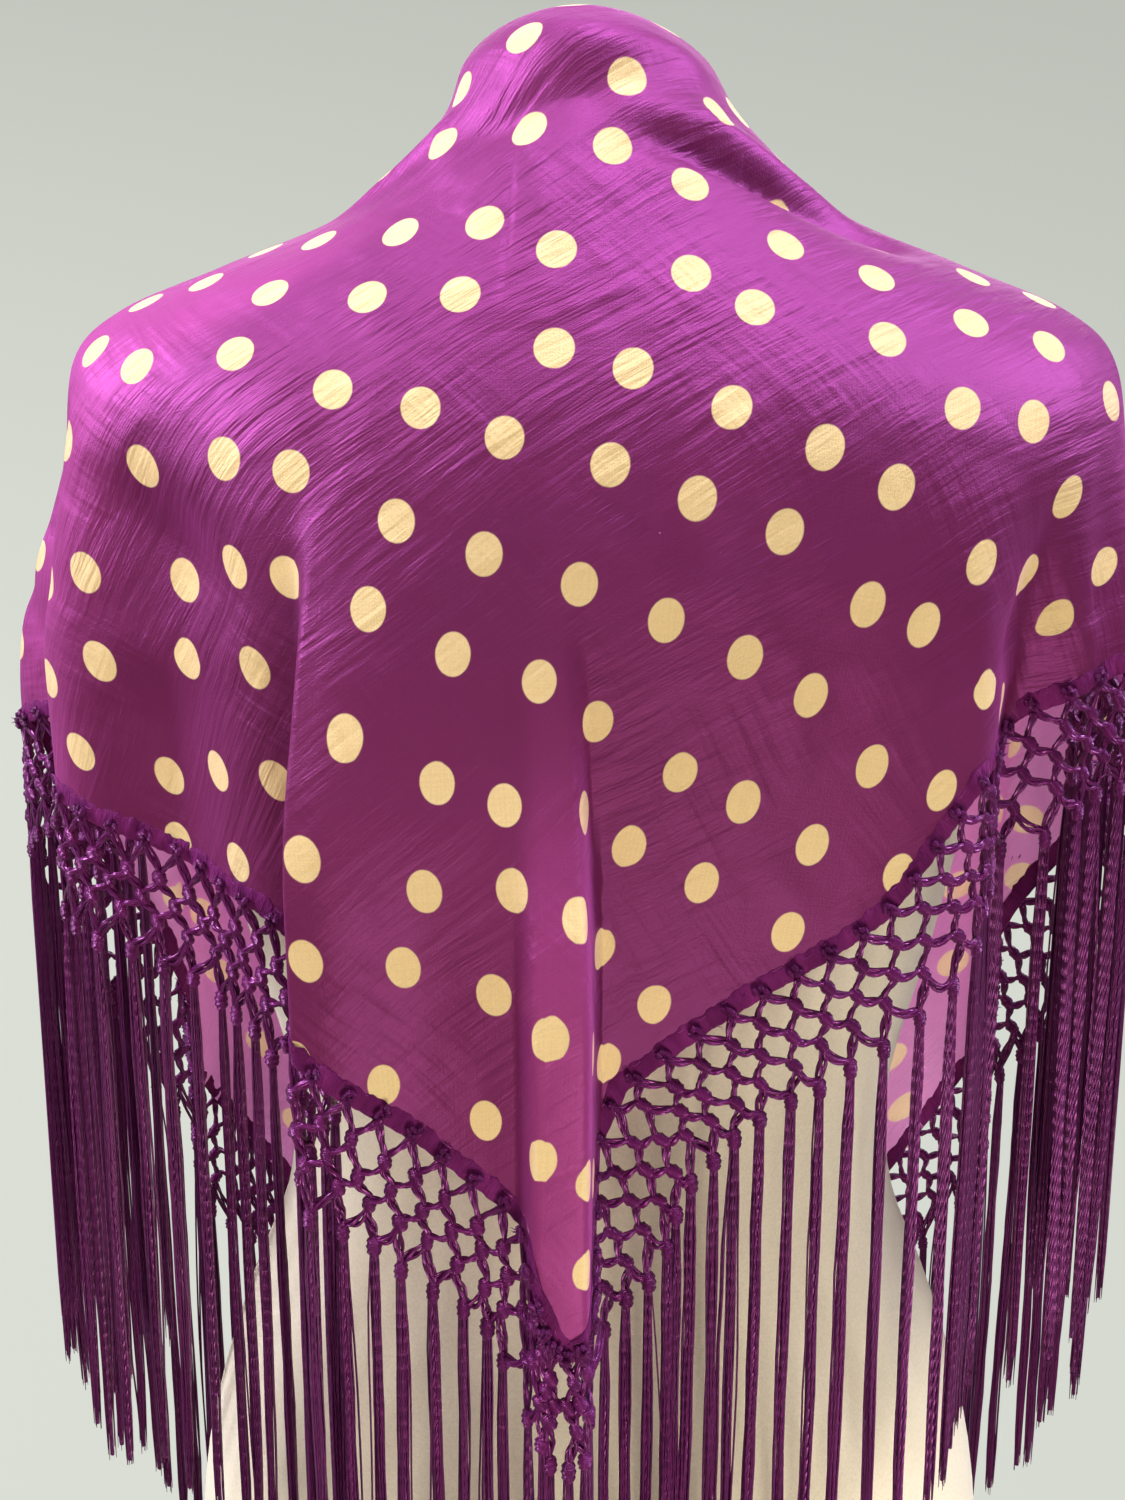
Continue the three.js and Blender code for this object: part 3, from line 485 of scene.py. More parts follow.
def net_and_tassels(side, spec, rng):
    hem = Hem(spec["sign"]); sg = spec["sign"]
    rest = np.linspace(19.5, hem.length - 5, int((hem.length - 24.5) / PITCH) + 1)
    s0 = np.concatenate([[2.9, 9.4], rest]); count = len(s0); pitch = np.gradient(s0)
    R = len(spec["rows"])
    place = {}
    for r in range(R + 2):                                     # 0 = on the hem, R + 1 = last knots
        s = s0 + (pitch / 2 if r % 2 else 0 * pitch)
        depth = 0.0 if r == 0 else (spec["rows"][r - 1] if r <= R else spec["rows"][-1])
        if r:
            s = s + rng.normal(0, 0.5, count)
            depth = depth + rng.normal(0, 0.6, count)
        if r == R + 1:                                          # under the knot on its upper side
            s = s + 0.30 * pitch
        plan, z, lean = hem.at(np.clip(s, 0, hem.length), depth, spec["share"])
        if r == R + 1:                                          # the last drop hangs straighter
            more = spec["reach"] - spec["rows"][-1] + rng.normal(0, 1.3, count)
            lean = lean * spec["last"]
            plan, z = plan + more * np.sin(lean), z - more * np.cos(lean)
        over = np.maximum(s - hem.length, 0)
        pt = hem.point(plan + over * 0.3, z); out = hem.out(plan)
        pt = pt + out * (rng.normal(0, 0.5, count)[:, None] if r else 1.0)
        tan = unit(hem.point(plan + 1, z) - hem.point(np.maximum(plan - 1, 0), z))
        axis = unit(tan * np.sin(lean)[:, None] * 1.0 + np.array([0, 0, -1]) * np.cos(lean)[:, None])
        if r == 0:                                              # the hem knots sit on the hem, a little above its rim
            pt = pt - axis * 2.2
        place[r] = dict(p=pt, out=out, axis=axis, tan=tan, s=s, plan=plan, z=z)
    cords = Cords()
    knot_len = 7.4
    # links: from each knot to the two below it
    for r in range(R + 1):
        a, b = place[r], place[r + 1]
        last = r == R
        for way in (0, 1):
            if r % 2 == 0:
                ia = np.arange(count); ib = ia if way else ia - 1
            else:
                ia = np.arange(count); ib = ia + 1 if way else ia
            ok = (ib >= 0) & (ib < count); ia, ib = ia[ok], ib[ok]
            A = a["p"][ia] + a["axis"][ia] * (knot_len * 0.26 if r else 1.8)
            B = b["p"][ib] - b["axis"][ib] * (knot_len * 0.26 if not last else 2.6)
            out = unit(a["out"][ia] + b["out"][ib])
            m = len(ia); strands = 4 if last else 2
            n = 9 if last else 7
            s = np.linspace(0, 1, n)[None, :, None]
            steep = np.abs((B - A)[:, 2]) / np.linalg.norm(B - A, axis=1)
            crosswise = steep < 0.62
            bow = np.where(crosswise, 1.2, -0.6)[:, None, None]
            sag = np.where(crosswise, rng.uniform(1.2 if last else 0.3, 4.0 if last else 0.9, m), 0)[:, None, None]
            path = A[:, None] * (1 - s) + B[:, None] * s
            arch = 4 * s * (1 - s)
            # links leave the knots along the knots' axis, then turn
            lead = (a["axis"][ia][:, None] * (s * (1 - s)**2) * 3.0 - b["axis"][ib][:, None] * (s**2 * (1 - s)) * 3.0) * (1.9 if last else 1.1)
            path = path + lead * 1.2 + out[:, None] * arch * bow * 0.7 + np.array([0, 0, -1.0]) * arch * sag
            along = unit(B - A); across = unit(np.cross(along, out))
            for k in range(strands):
                turn = rng.uniform(-0.4, 0.4, (m, 1, 1)) + (k / strands) * 2 * np.pi + s * np.pi * rng.uniform(0.4, 1.0, (m, 1, 1))
                spread = (0.78 if not last else 1.15) * (0.70 + 0.55 * arch)
                line = path + (across[:, None] * np.cos(turn) + out[:, None] * np.sin(turn) * 0.8) * spread
                rad = (0.98 if not last else 0.70) * rng.uniform(0.88, 1.12, (m, 1)) * (0.90 + 0.18 * arch[..., 0])
                # painted shade: steep links get a darker tone and crosswise ones a lighter one, as the light from above
                # falls on them, plus a random tone
                painted_shade_and_tone = np.clip(0.25 + 0.75 * (1 - steep) / 0.7, 0, 1) * 0.7 + rng.uniform(0, 0.3, m)
                cords.tubes(line, rad, out, sides=6, flat=0.9, shade=painted_shade_and_tone)
    for r in range(1, R + 1):
        a = place[r]
        tilt = (0.25 if sg > 0 else -0.50) + rng.normal(0, 0.12, count)
        cords.knots(a["p"], unit(a["axis"] + a["tan"] * tilt[:, None]), a["out"], knot_len * rng.uniform(0.9, 1.15, count), 5.1 * rng.uniform(0.9, 1.12, count),
                    around=9, along=8, turns=2.6, ridge=0.11, shade=rng.uniform(0.35, 1, count))
    # on the hem: small tufted lark's heads, lobes and loops piled up
    a = place[0]
    lobes = ((-1.7, 1.0, 3.6, 2.5, 1.5), (1.6, 1.1, 3.6, 2.5, 1.5), (0.0, -0.9, 3.8, 3.4, 1.2), (0.2, 2.6, 2.6, 2.3, 1.9), (-0.9, -2.6, 3.0, 2.4, 0.9))
    for k, (dx, dz, ln, wd, lift) in enumerate(lobes):
        c = a["p"] + a["tan"] * (dx + rng.normal(0, 0.4, count))[:, None] - a["axis"] * (dz + rng.normal(0, 0.4, count))[:, None] + a["out"] * (lift + rng.normal(0, 0.2, count))[:, None]
        cords.knots(c, unit(a["axis"] * (1 if k != 2 else 0.4) + a["tan"] * (rng.normal(0, 0.5, count) + (0.9 if k == 2 else 0))[:, None]), a["out"], ln * rng.uniform(0.8, 1.25, count), wd * rng.uniform(0.8, 1.2, count),
                    around=7, along=5, ridge=0.13, shade=rng.uniform(0.2, 1, count))
    # thread ends standing off the hem knots
    m = count
    for k in range(5):
        s = np.linspace(0, 1, 4)[None, :, None]
        d = unit(a["out"] * 0.9 + a["tan"] * rng.normal(0, 0.8, m)[:, None] - a["axis"] * rng.uniform(-0.3, 1.1, m)[:, None])
        line = a["p"][:, None] + a["out"][:, None] * 1.0 + d[:, None] * s * rng.uniform(1.4, 4.2, m)[:, None, None]
        cords.tubes(line, np.array([0.34, 0.28, 0.22, 0.08])[None] * np.ones((m, 1)), a["out"], sides=3, shade=rng.uniform(0.3, 1, m))
    # last knots, longer and wound
    a = place[R + 1]
    hang = unit(a["axis"] * 0.6 + np.array([0, 0, -1.0]))
    final_c = a["p"]
    cords.knots(final_c, hang, a["out"], 8.8 * rng.uniform(0.9, 1.15, count), 5.1 * rng.uniform(0.92, 1.1, count), around=10, along=13, turns=3.8, ridge=0.12,
                shade=rng.uniform(0.3, 1, count))
    net = cords.object("net_" + side)

    # tassels
    silk = Cords()
    n = 12
    fall = np.linspace(0, 1, n)
    top = final_c + hang * 2.6
    length = TASSEL_LENGTH - 2 + rng.uniform(-8, 4, count)
    sway_t = rng.normal(0, 1.5, count); sway_o = rng.normal(0.4, 1.1, count); phase = rng.uniform(0, 6.28, count)
    centre = (top[:, None] + np.array([0, 0, -1.0]) * (fall[None, :, None] * length[:, None, None])
              + a["tan"][:, None] * (sway_t[:, None] * fall[None]**1.5 + 0.5 * np.sin(phase[:, None] + fall[None] * 7.0) * fall[None])[..., None]
              + a["out"][:, None] * (sway_o[:, None] * fall[None]**1.5)[..., None])
    swell = 0.74 + 0.26 * smooth(fall / 0.10) - 0.10 * smooth((fall - 0.7) / 0.3)
    silk.tubes(centre, 1.15 * swell[None] * rng.uniform(0.9, 1.1, (count, 1)), a["out"], sides=6, flat=0.8, shade=rng.uniform(0, 0.5, count))
    strands = 15
    for k in range(strands):
        ang = 2 * np.pi * (k + rng.uniform(-0.3, 0.3, count)) / strands * (1 if k < strands - 3 else 1.0) + phase
        rr = rng.uniform(0.8, 1.0, count) if k < strands - 4 else rng.uniform(0.2, 0.9, count)
        stray = rng.random(count) < 0.045
        spread = np.where(stray, rng.uniform(1.7, 3.6, count), 1.0)
        grow = 1 + (spread[:, None] - 1) * np.sin(np.pi * np.clip(fall[None] * 1.05, 0, 1))**1.0 + 0.10 * fall[None]
        wave = 0.28 * np.sin(fall[None] * rng.uniform(9, 26, (count, 1)) + rng.uniform(0, 6.28, (count, 1)))
        twist = ang[:, None] + rng.uniform(-0.9, 0.9, (count, 1)) * fall[None]
        off = (a["tan"][:, None] * (np.cos(twist) * 2.0 * rr[:, None] * grow * swell[None] + wave)[..., None]
               + a["out"][:, None] * (np.sin(twist) * 1.5 * rr[:, None] * grow * swell[None])[..., None])
        tail = rng.uniform(-7, 4, count)
        line = centre + off + np.array([0, 0, -1.0]) * (fall[None]**3 * tail[:, None])[..., None]
        rad = np.full(n, 0.50); rad[-1] = 0.16; rad[0] = 0.42
        silk.tubes(line, rad[None] * rng.uniform(0.85, 1.2, (count, 1)), a["out"], sides=3, shade=rng.uniform(0, 1, count))
    tassels = silk.object("tassels_" + side)
    return hem, net, tassels, count


# ------------------------------------------------------------------ hems
def uneven(arc, rng, waves, amount):
    """Irregular run of bumps along a length: waves are wavelengths in mm."""
    return amount * sum(np.sin(arc / w * 2 * np.pi + rng.uniform(0, 6.28) + 1.6 * np.sin(arc / (w * 3.7) + rng.uniform(0, 6.28))) for w in waves) / len(waves)**0.5


def band(name, line, inward, normal, profile, waver=None, wider=0.0, lift=0.0):
    """A closed band along a line (n, 3): profile rows are (distance in from the line, height off the cloth)."""
    n = len(line); prof = np.array(profile)
    w = np.ones((n, 1)) if waver is None else waver
    wide = prof[None, :, 0] * (1 + np.reshape(wider, (-1, 1)))
    rim = 1 - smooth(prof[None, :, 0] / max(prof[:, 0]))
    v = line[:, None] + inward[:, None] * wide[..., None] + normal[:, None] * (prof[None, :, 1] * w + np.reshape(lift, (-1, 1)) * rim)[..., None]
    k = len(prof)
    f = grid_faces(n, k, close=True)
    caps = [np.concatenate([np.stack([np.full(k - 2, b), np.arange(b + 1, b + k - 1), np.arange(b + 2, b + k)], -1)]) for b in (0, (n - 1) * k)]
    return v.reshape(-1, 3), f, caps


HEM_PROFILE = [(7.4, 0.32), (7.0, 0.62), (4.2, 0.70), (1.3, 0.95), (-0.2, 0.70), (-0.7, 0.0), (-0.2, -0.66), (1.2, -0.92), (4.2, -0.80), (6.9, -0.74), (7.4, -0.32)]
EDGE_PROFILE = [(3.4, 0.32), (2.8, 0.85), (1.4, 1.10), (0.2, 0.85), (-0.5, 0.0), (0.2, -0.85), (1.4, -1.10), (2.8, -0.85), (3.4, -0.32)]


def stitches(cords, line, inward, normal, every, dash, lift, rng, sides=4):
    """Hand running stitch along a line on the cloth's outer side, uneven in length and place."""
    d = np.concatenate([[0], np.linalg.norm(np.diff(line, axis=0), axis=1).cumsum()])
    starts = np.arange(every * 0.5, d[-1] - dash * 1.6, every); starts = starts + rng.uniform(-0.3, 0.3, len(starts)) * every
    s = np.linspace(0, 1, 5)[None]
    at = starts[:, None] + s * dash * rng.uniform(0.35, 1.5, (len(starts), 1))
    pts = np.stack([np.interp(at, d, line[:, k]) for k in range(3)], -1)
    nn = np.stack([np.interp(at, d, normal[:, k]) for k in range(3)], -1)
    ii = np.stack([np.interp(at, d, inward[:, k]) for k in range(3)], -1)
    pts = pts + ii * (rng.normal(0, 0.5, (len(starts), 1)) + rng.normal(0, 0.35, (len(starts), 1)) * s)[..., None]
    pts = pts + nn * (lift * np.sin(np.pi * s) * rng.uniform(0.8, 1.2, (len(starts), 1)) - 0.05)[..., None]
    cords.tubes(pts, 0.17, nn, sides=sides, shade=rng.uniform(0, 1, len(starts)))


def hem_piece(side, sign, rng):
    q_tip = TIP_ANGLE / LOW_EDGE
    q = np.linspace(q_tip + sign * 0.0008, sign * 1.0, 520)
    t = np.array([1.93, 1.97, 2.0])
    Pp, Nn, _ = surface(q, t)
    line, above, normal = Pp[2], Pp[1], Nn[2] * 1.0
    tan = unit(np.gradient(line, axis=0))
    if sign < 0:
        normal = unit(np.cross(above - line, tan)) * 1.0
    else:
        normal = unit(np.cross(tan, above - line))
    inward = unit(above - line)
    # square to the line, as far as it lies in the cloth
    inward = unit(inward - tan * (inward * tan).sum(-1, keepdims=True) * 0.75)
    smooth_n = np.stack([np.convolve(np.pad(normal[:, k], 3, mode="edge"), np.ones(7) / 7, mode="valid") for k in range(3)], -1)
    normal = unit(smooth_n)
    arc = np.concatenate([[0], np.linalg.norm(np.diff(line, axis=0), axis=1).cumsum()])
    waver = np.clip(1 + uneven(arc, rng, (PITCH, 7.3, 4.1), 0.30), 0.45, 1.6)[:, None]
    v, f, caps = band("hem", line, inward, normal, HEM_PROFILE, waver, uneven(arc, rng, (31.0, 11.0, 5.2), 0.09), uneven(arc, rng, (PITCH, 6.1, 3.4), 0.42))
    cords = Cords()
    stitches(cords, line + inward * 6.0, inward, normal, 10.5, 4.6, 1.0, rng)
    # loose thread ends along the rim, thick at the frayed point
    for count, low, high, reach in ((70, 0.0, 13.0, 4.4), (60, 13.0, arc[-1], 2.6)):
        at = rng.uniform(low, high, count); s = np.linspace(0, 1, 4)[None, :, None]
        here = np.stack([np.interp(at, arc, line[:, k]) for k in range(3)], -1)
        nn = np.stack([np.interp(at, arc, normal[:, k]) for k in range(3)], -1); ii = np.stack([np.interp(at, arc, inward[:, k]) for k in range(3)], -1)
        tt_ = np.stack([np.interp(at, arc, tan[:, k]) for k in range(3)], -1)
        d = unit(-ii * rng.uniform(0.1, 1.0, (count, 1)) + nn * rng.uniform(0.0, 0.8, (count, 1)) + tt_ * rng.normal(0, 0.8, (count, 1)))
        bend_ = unit(nn * rng.normal(0, 1, (count, 1)) + tt_ * rng.normal(0, 1, (count, 1)))
        ends = (here + ii * rng.uniform(-0.2, 3.0, (count, 1)) + nn * 0.7)[:, None] + d[:, None] * s * rng.uniform(0.4, 1.0, (count, 1, 1)) * reach + bend_[:, None] * s**2 * 0.8
        cords.tubes(ends, np.array([0.13, 0.12, 0.10, 0.05])[None] * np.ones((count, 1)), nn, sides=3, shade=rng.uniform(0.4, 1, count))
    cords.v.insert(0, v); uv = np.stack([np.tile(np.arange(len(HEM_PROFILE)) / len(HEM_PROFILE), len(line)), np.repeat(arc, len(HEM_PROFILE)), np.full(len(v), -1.0)], -1)
    cords.uv.insert(0, uv)
    cords.f = [f if True else f] + [c for c in caps] + [g + len(v) for g in cords.f]
    ob = cords.object("hem_" + side)
    return ob


def edge_piece(side, sign, rng):
    t = np.interp(np.linspace(down_lengths[-1] * 0.02, down_lengths[-1], 300), down_lengths, tt)
    q = np.array([1.0 - 0.012, 1.0 - 0.004, 1.0]) * sign
    if sign < 0:
        q = q[::-1]
    Pp, Nn, _ = surface(q, t)
    edge = 2 if sign > 0 else 0
    line, inner, normal = Pp[:, edge], Pp[:, 1], Nn[:, 1]
    inward = unit(inner - line)
    arc = np.concatenate([[0], np.linalg.norm(np.diff(line, axis=0), axis=1).cumsum()])
    waver = np.clip(1 + uneven(arc, rng, (19.0, 8.0, 4.3), 0.22), 0.6, 1.4)[:, None]
    v, f, caps = band("edge", line, inward, normal, EDGE_PROFILE, waver, 0.0, uneven(arc, rng, (23.0, 9.0), 0.15))
    cords = Cords()
    stitches(cords, line + inward * 2.6, inward * 0.3, normal, 8.0, 3.0, 1.1, rng)
    uv = np.stack([np.tile(np.arange(len(EDGE_PROFILE)) / len(EDGE_PROFILE), len(line)), np.repeat(arc, len(EDGE_PROFILE)), np.full(len(v), -1.0)], -1)
    cords.v.insert(0, v); cords.uv.insert(0, uv)
    cords.f = [f] + [c for c in caps] + [g + len(v) for g in cords.f]
    return cords.object("edge_" + side)


# ------------------------------------------------------------------ the dress form
def form_piece():
    rows = np.concatenate([np.linspace(-17, -21, 4)[:-1], np.linspace(-21, -150, 46)[:-1], np.linspace(-150, -955, 60)])
    zs = FORM[::-1, 0]
    col = [np.interp(rows, zs, FORM[::-1, k]) for k in (1, 2, 3)]
    # the table read smoothly from row to row
    col = [curve(FORM[::-1, 0], FORM[::-1, k], rows) for k in (1, 2, 3)]
    a = np.arange(72) / 72 * 2 * np.pi; s, c = np.sin(a), np.cos(a)
    k = (np.abs(s)**FORM_POWER + np.abs(c)**FORM_POWER)**(-1 / FORM_POWER)
    x = col[0][:, None] * (s * k)[None]; y = -np.where(c > 0, col[1][:, None], col[2][:, None]) * (c * k)[None]
    v = np.stack([x, y, np.broadcast_to(CROWN_Z + rows[:, None], x.shape)], -1)
    f = grid_faces(len(rows), 72, close=True)
    top, base = v.reshape(-1, 3).shape[0], v.reshape(-1, 3).shape[0] + 1
    verts = np.concatenate([v.reshape(-1, 3), [[0, 0, CROWN_Z - 17]], [[0, 0, 0]]])
    j = np.arange(72); j2 = (j + 1) % 72; e = (len(rows) - 1) * 72
    ob = mesh_object("form", verts, [f, np.stack([np.full(72, top), j, j2], -1), np.stack([np.full(72, base), e + j2, e + j], -1)])
    return ob


# ------------------------------------------------------------------ materials
def nodes_of(name):
    m = bpy.data.materials.new(name); m.use_nodes = True
    nt = m.node_tree; nt.nodes.clear()
    out = nt.nodes.new("ShaderNodeOutputMaterial")
    return m, nt, out


def add(nt, kind, **props):
    n = nt.nodes.new(kind)
    for k, v in props.items():
        setattr(n, k, v)
    return n


def math_node(nt, op, a, b=None, c=None, clamp=False):
    n = nt.nodes.new("ShaderNodeMath"); n.operation = op; n.use_clamp = clamp
    for i, x in enumerate((a, b, c)):
        if x is None:
            continue
        if isinstance(x, (int, float)):
            n.inputs[i].default_value = x
        else:
            nt.links.new(x, n.inputs[i])
    return n.outputs[0]


def mix_colour(nt, fac, a, b, mode="MIX"):
    n = nt.nodes.new("ShaderNodeMix"); n.data_type = "RGBA"; n.blend_type = mode
    for sock, x in ((n.inputs["Factor"], fac), (n.inputs[6], a), (n.inputs[7], b)):
        if isinstance(x, (int, float)):
            sock.default_value = x
        elif isinstance(x, tuple):
            sock.default_value = (*x, 1)
        else:
            nt.links.new(x, sock)
    return n.outputs[2]


def lin(r, g, b):
    return tuple((v / 255 / 12.92) if v / 255 <= 0.04045 else ((v / 255 + 0.055) / 1.055)**2.4 for v in (r, g, b))


def noise(nt, vec, scale, detail=2.0, rough=0.5, dims="2D"):
    n = add(nt, "ShaderNodeTexNoise", noise_dimensions=dims)
    n.inputs["Scale"].default_value = scale; n.inputs["Detail"].default_value = detail; n.inputs["Roughness"].default_value = rough
    nt.links.new(vec, n.inputs["Vector"])
    return n.outputs["Fac"]


def rotated(nt, vec, degrees, sx=1.0, sy=1.0):
    n = add(nt, "ShaderNodeMapping", vector_type="POINT")
    n.inputs["Rotation"].default_value = (0, 0, math.radians(degrees))
    first = n.outputs[0]; nt.links.new(vec, n.inputs["Vector"])
    m = add(nt, "ShaderNodeMapping", vector_type="POINT"); m.inputs["Scale"].default_value = (sx, sy, 1)
    nt.links.new(first, m.inputs["Vector"])
    return m.outputs[0]


def cloth_material(name, reverse=False):
    m, nt, out = nodes_of(name)
    L = nt.links.new
    uv = add(nt, "ShaderNodeUVMap", uv_map="flat").outputs[0]              # 1 = 100 mm
    edge = add(nt, "ShaderNodeUVMap", uv_map="edge").outputs[0]
    sep = add(nt, "ShaderNodeSeparateXYZ"); L(uv, sep.inputs[0]); u, v = sep.outputs[0], sep.outputs[1]
    # dot pattern, slightly narrower towards the sides and taller low down, as printed cloth cut on the bias hangs
    pu = math_node(nt, "MULTIPLY", u, math_node(nt, "ADD", 0.97, math_node(nt, "MULTIPLY", math_node(nt, "ABSOLUTE", v), 0.065)))
    pv = math_node(nt, "MULTIPLY", v, 0.94)
    comb = add(nt, "ShaderNodeCombineXYZ"); L(pu, comb.inputs[0]); L(pv, comb.inputs[1])
    wob = noise(nt, uv, 1.1, 2.0)
    cell = 1 / 0.365
    pat = rotated(nt, comb.outputs[0], 17.0)
    vor = add(nt, "ShaderNodeTexVoronoi", voronoi_dimensions="2D", feature="F1", distance="EUCLIDEAN")
    vor.inputs["Scale"].default_value = cell; vor.inputs["Randomness"].default_value = 0.38
    L(pat, vor.inputs["Vector"])
    ragged = noise(nt, uv, 60.0, 2.0)
    d = math_node(nt, "ADD", vor.outputs["Distance"], math_node(nt, "MULTIPLY", math_node(nt, "SUBTRACT", ragged, 0.5), 0.0035))
    radius = 0.0745 * cell
    dot = math_node(nt, "DIVIDE", math_node(nt, "SUBTRACT", radius, d), 0.0045 * cell, clamp=True)
    # cloth colour: slow and fine unevenness, thread slubs
    slow = noise(nt, uv, 0.9, 3.0)
    slub = noise(nt, rotated(nt, uv, 0.0, 3.0, 120.0), 1.0, 2.0)
    slub2 = noise(nt, rotated(nt, uv, 0.0, 120.0, 3.0), 1.0, 2.0)
    grain = noise(nt, uv, 150.0, 2.0, 0.6)
    # on the reverse the ground is a pale pink: painted light, standing in for light shining through the cloth from
    # outside
    base_a = lin(*((77, 13, 43) if not reverse else (226, 158, 220)))
    base_b = lin(*((88, 17, 50) if not reverse else (232, 168, 226)))
    col = mix_colour(nt, slow, base_a, base_b)
    if not reverse:
        # painted glow: the cloth colour is brightened towards a pale pink where it hangs free, standing in for light
        # coming through it
        painted_glow_mask = add(nt, "ShaderNodeSeparateXYZ"); L(edge, painted_glow_mask.inputs[0])
        col = mix_colour(nt, painted_glow_mask.outputs[1], col, lin(146, 56, 112))
    fine = math_node(nt, "ADD", math_node(nt, "MULTIPLY", grain, 0.5), math_node(nt, "MULTIPLY", math_node(nt, "ADD", slub, slub2), 0.25))
    shade = math_node(nt, "ADD", 0.80, math_node(nt, "MULTIPLY", fine, 0.40))
    dot_col = mix_colour(nt, wob, lin(234, 212, 152), lin(241, 221, 166)) if not reverse else mix_colour(nt, wob, lin(232, 214, 184), lin(238, 222, 194))
    col = mix_colour(nt, dot, col, dot_col)
    val = add(nt, "ShaderNodeCombineColor")
    for i in range(3):
        L(shade, val.inputs[i])
    col = mix_colour(nt, 1.0, col, val.outputs[0], "MULTIPLY")
    # crinkles: long slanting ones over the back, crossed by a few, and a fine crepe grain
    bend = add(nt, "ShaderNodeTexNoise", noise_dimensions="2D"); bend.inputs["Scale"].default_value = 0.8; bend.inputs["Detail"].default_value = 1.0
    L(uv, bend.inputs["Vector"])
    off = add(nt, "ShaderNodeVectorMath", operation="MULTIPLY_ADD"); L(bend.outputs["Color"], off.inputs[0])
    off.inputs[1].default_value = (0.13, 0.13, 0); L(uv, off.inputs[2])
    bent = off.outputs[0]
    fine_streak = noise(nt, rotated(nt, bent, -38.0, 2.6, 30.0), 1.0, 3.0, 0.62)
    streak = noise(nt, rotated(nt, bent, -35.0, 1.3, 10.0), 1.0, 2.0, 0.5)
    cross_streak = noise(nt, rotated(nt, bent, 47.0, 1.6, 14.0), 1.0, 2.0, 0.5)
    patch = noise(nt, uv, 1.3, 2.0)
    patch = math_node(nt, "MULTIPLY", math_node(nt, "SUBTRACT", patch, 0.42), 4.5, clamp=True)
    high = math_node(nt, "MULTIPLY", math_node(nt, "SUBTRACT", v, -3.4), 0.6, clamp=True)     # stronger high on the back
    gust = noise(nt, uv, 2.4, 2.0)                                              # the crinkles come and go
    gust = math_node(nt, "ADD", 0.36, math_node(nt, "MULTIPLY", math_node(nt, "SUBTRACT", gust, 0.36), 2.6, clamp=True))
    h = math_node(nt, "ADD", math_node(nt, "MULTIPLY", fine_streak, 0.42), math_node(nt, "MULTIPLY", streak, 0.50))
    h = math_node(nt, "MULTIPLY", h, gust)
    h = math_node(nt, "MULTIPLY", h, math_node(nt, "ADD", 0.55, math_node(nt, "MULTIPLY", high, 0.45)))
    h = math_node(nt, "ADD", h, math_node(nt, "MULTIPLY", math_node(nt, "MULTIPLY", cross_streak, patch), 0.35))
    bump = add(nt, "ShaderNodeBump"); bump.inputs["Strength"].default_value = 1.0; bump.inputs["Distance"].default_value = 0.0032
    L(h, bump.inputs["Height"])
    weave = add(nt, "ShaderNodeBump"); weave.inputs["Strength"].default_value = 0.6; weave.inputs["Distance"].default_value = 0.0004
    L(fine, weave.inputs["Height"]); L(bump.outputs[0], weave.inputs["Normal"])
    b = add(nt, "ShaderNodeBsdfPrincipled")
    L(col, b.inputs["Base Color"]); L(weave.outputs[0], b.inputs["Normal"])
    L(math_node(nt, "ADD", 0.50, math_node(nt, "MULTIPLY", grain, 0.16)), b.inputs["Roughness"])
    b.inputs["Specular IOR Level"].default_value = 0.20
    b.inputs["Sheen Weight"].default_value = 0.32; b.inputs["Sheen Roughness"].default_value = 0.42
    b.inputs["Sheen Tint"].default_value = (*lin(244, 118, 238), 1)
    if reverse:                                                             # painted glow: an emission stands in for light coming through from outside
        L(mix_colour(nt, dot, lin(226, 140, 202), lin(236, 214, 170)), b.inputs["Emission Color"]); b.inputs["Emission Strength"].default_value = 0.36
    t = add(nt, "ShaderNodeBsdfTranslucent"); L(mix_colour(nt, 0.16 if not reverse else 0.66, col, lin(250, 110, 196) if not reverse else lin(246, 190, 232)), t.inputs["Color"]); L(weave.outputs[0], t.inputs["Normal"])
    mix = add(nt, "ShaderNodeMixShader"); mix.inputs[0].default_value = 0.22 if not reverse else 0.34
    # the satin threads' own pink gloss, on the coloured ground only
    gloss = add(nt, "ShaderNodeBsdfAnisotropic"); gloss.inputs["Color"].default_value = (*lin(255, 112, 240), 1); gloss.inputs["Roughness"].default_value = 0.55
    L(weave.outputs[0], gloss.inputs["Normal"])
    both = add(nt, "ShaderNodeMixShader")
    L(math_node(nt, "MULTIPLY", math_node(nt, "MULTIPLY", math_node(nt, "SUBTRACT", 1.0, dot), 0.165 if not reverse else 0.04), math_node(nt, "ADD", 0.50, math_node(nt, "MULTIPLY", high, 0.50))), both.inputs[0])
    L(b.outputs[0], both.inputs[1]); L(gloss.outputs[0], both.inputs[2])
    L(both.outputs[0], mix.inputs[1]); L(t.outputs[0], mix.inputs[2]); L(mix.outputs[0], out.inputs["Surface"])
    return m


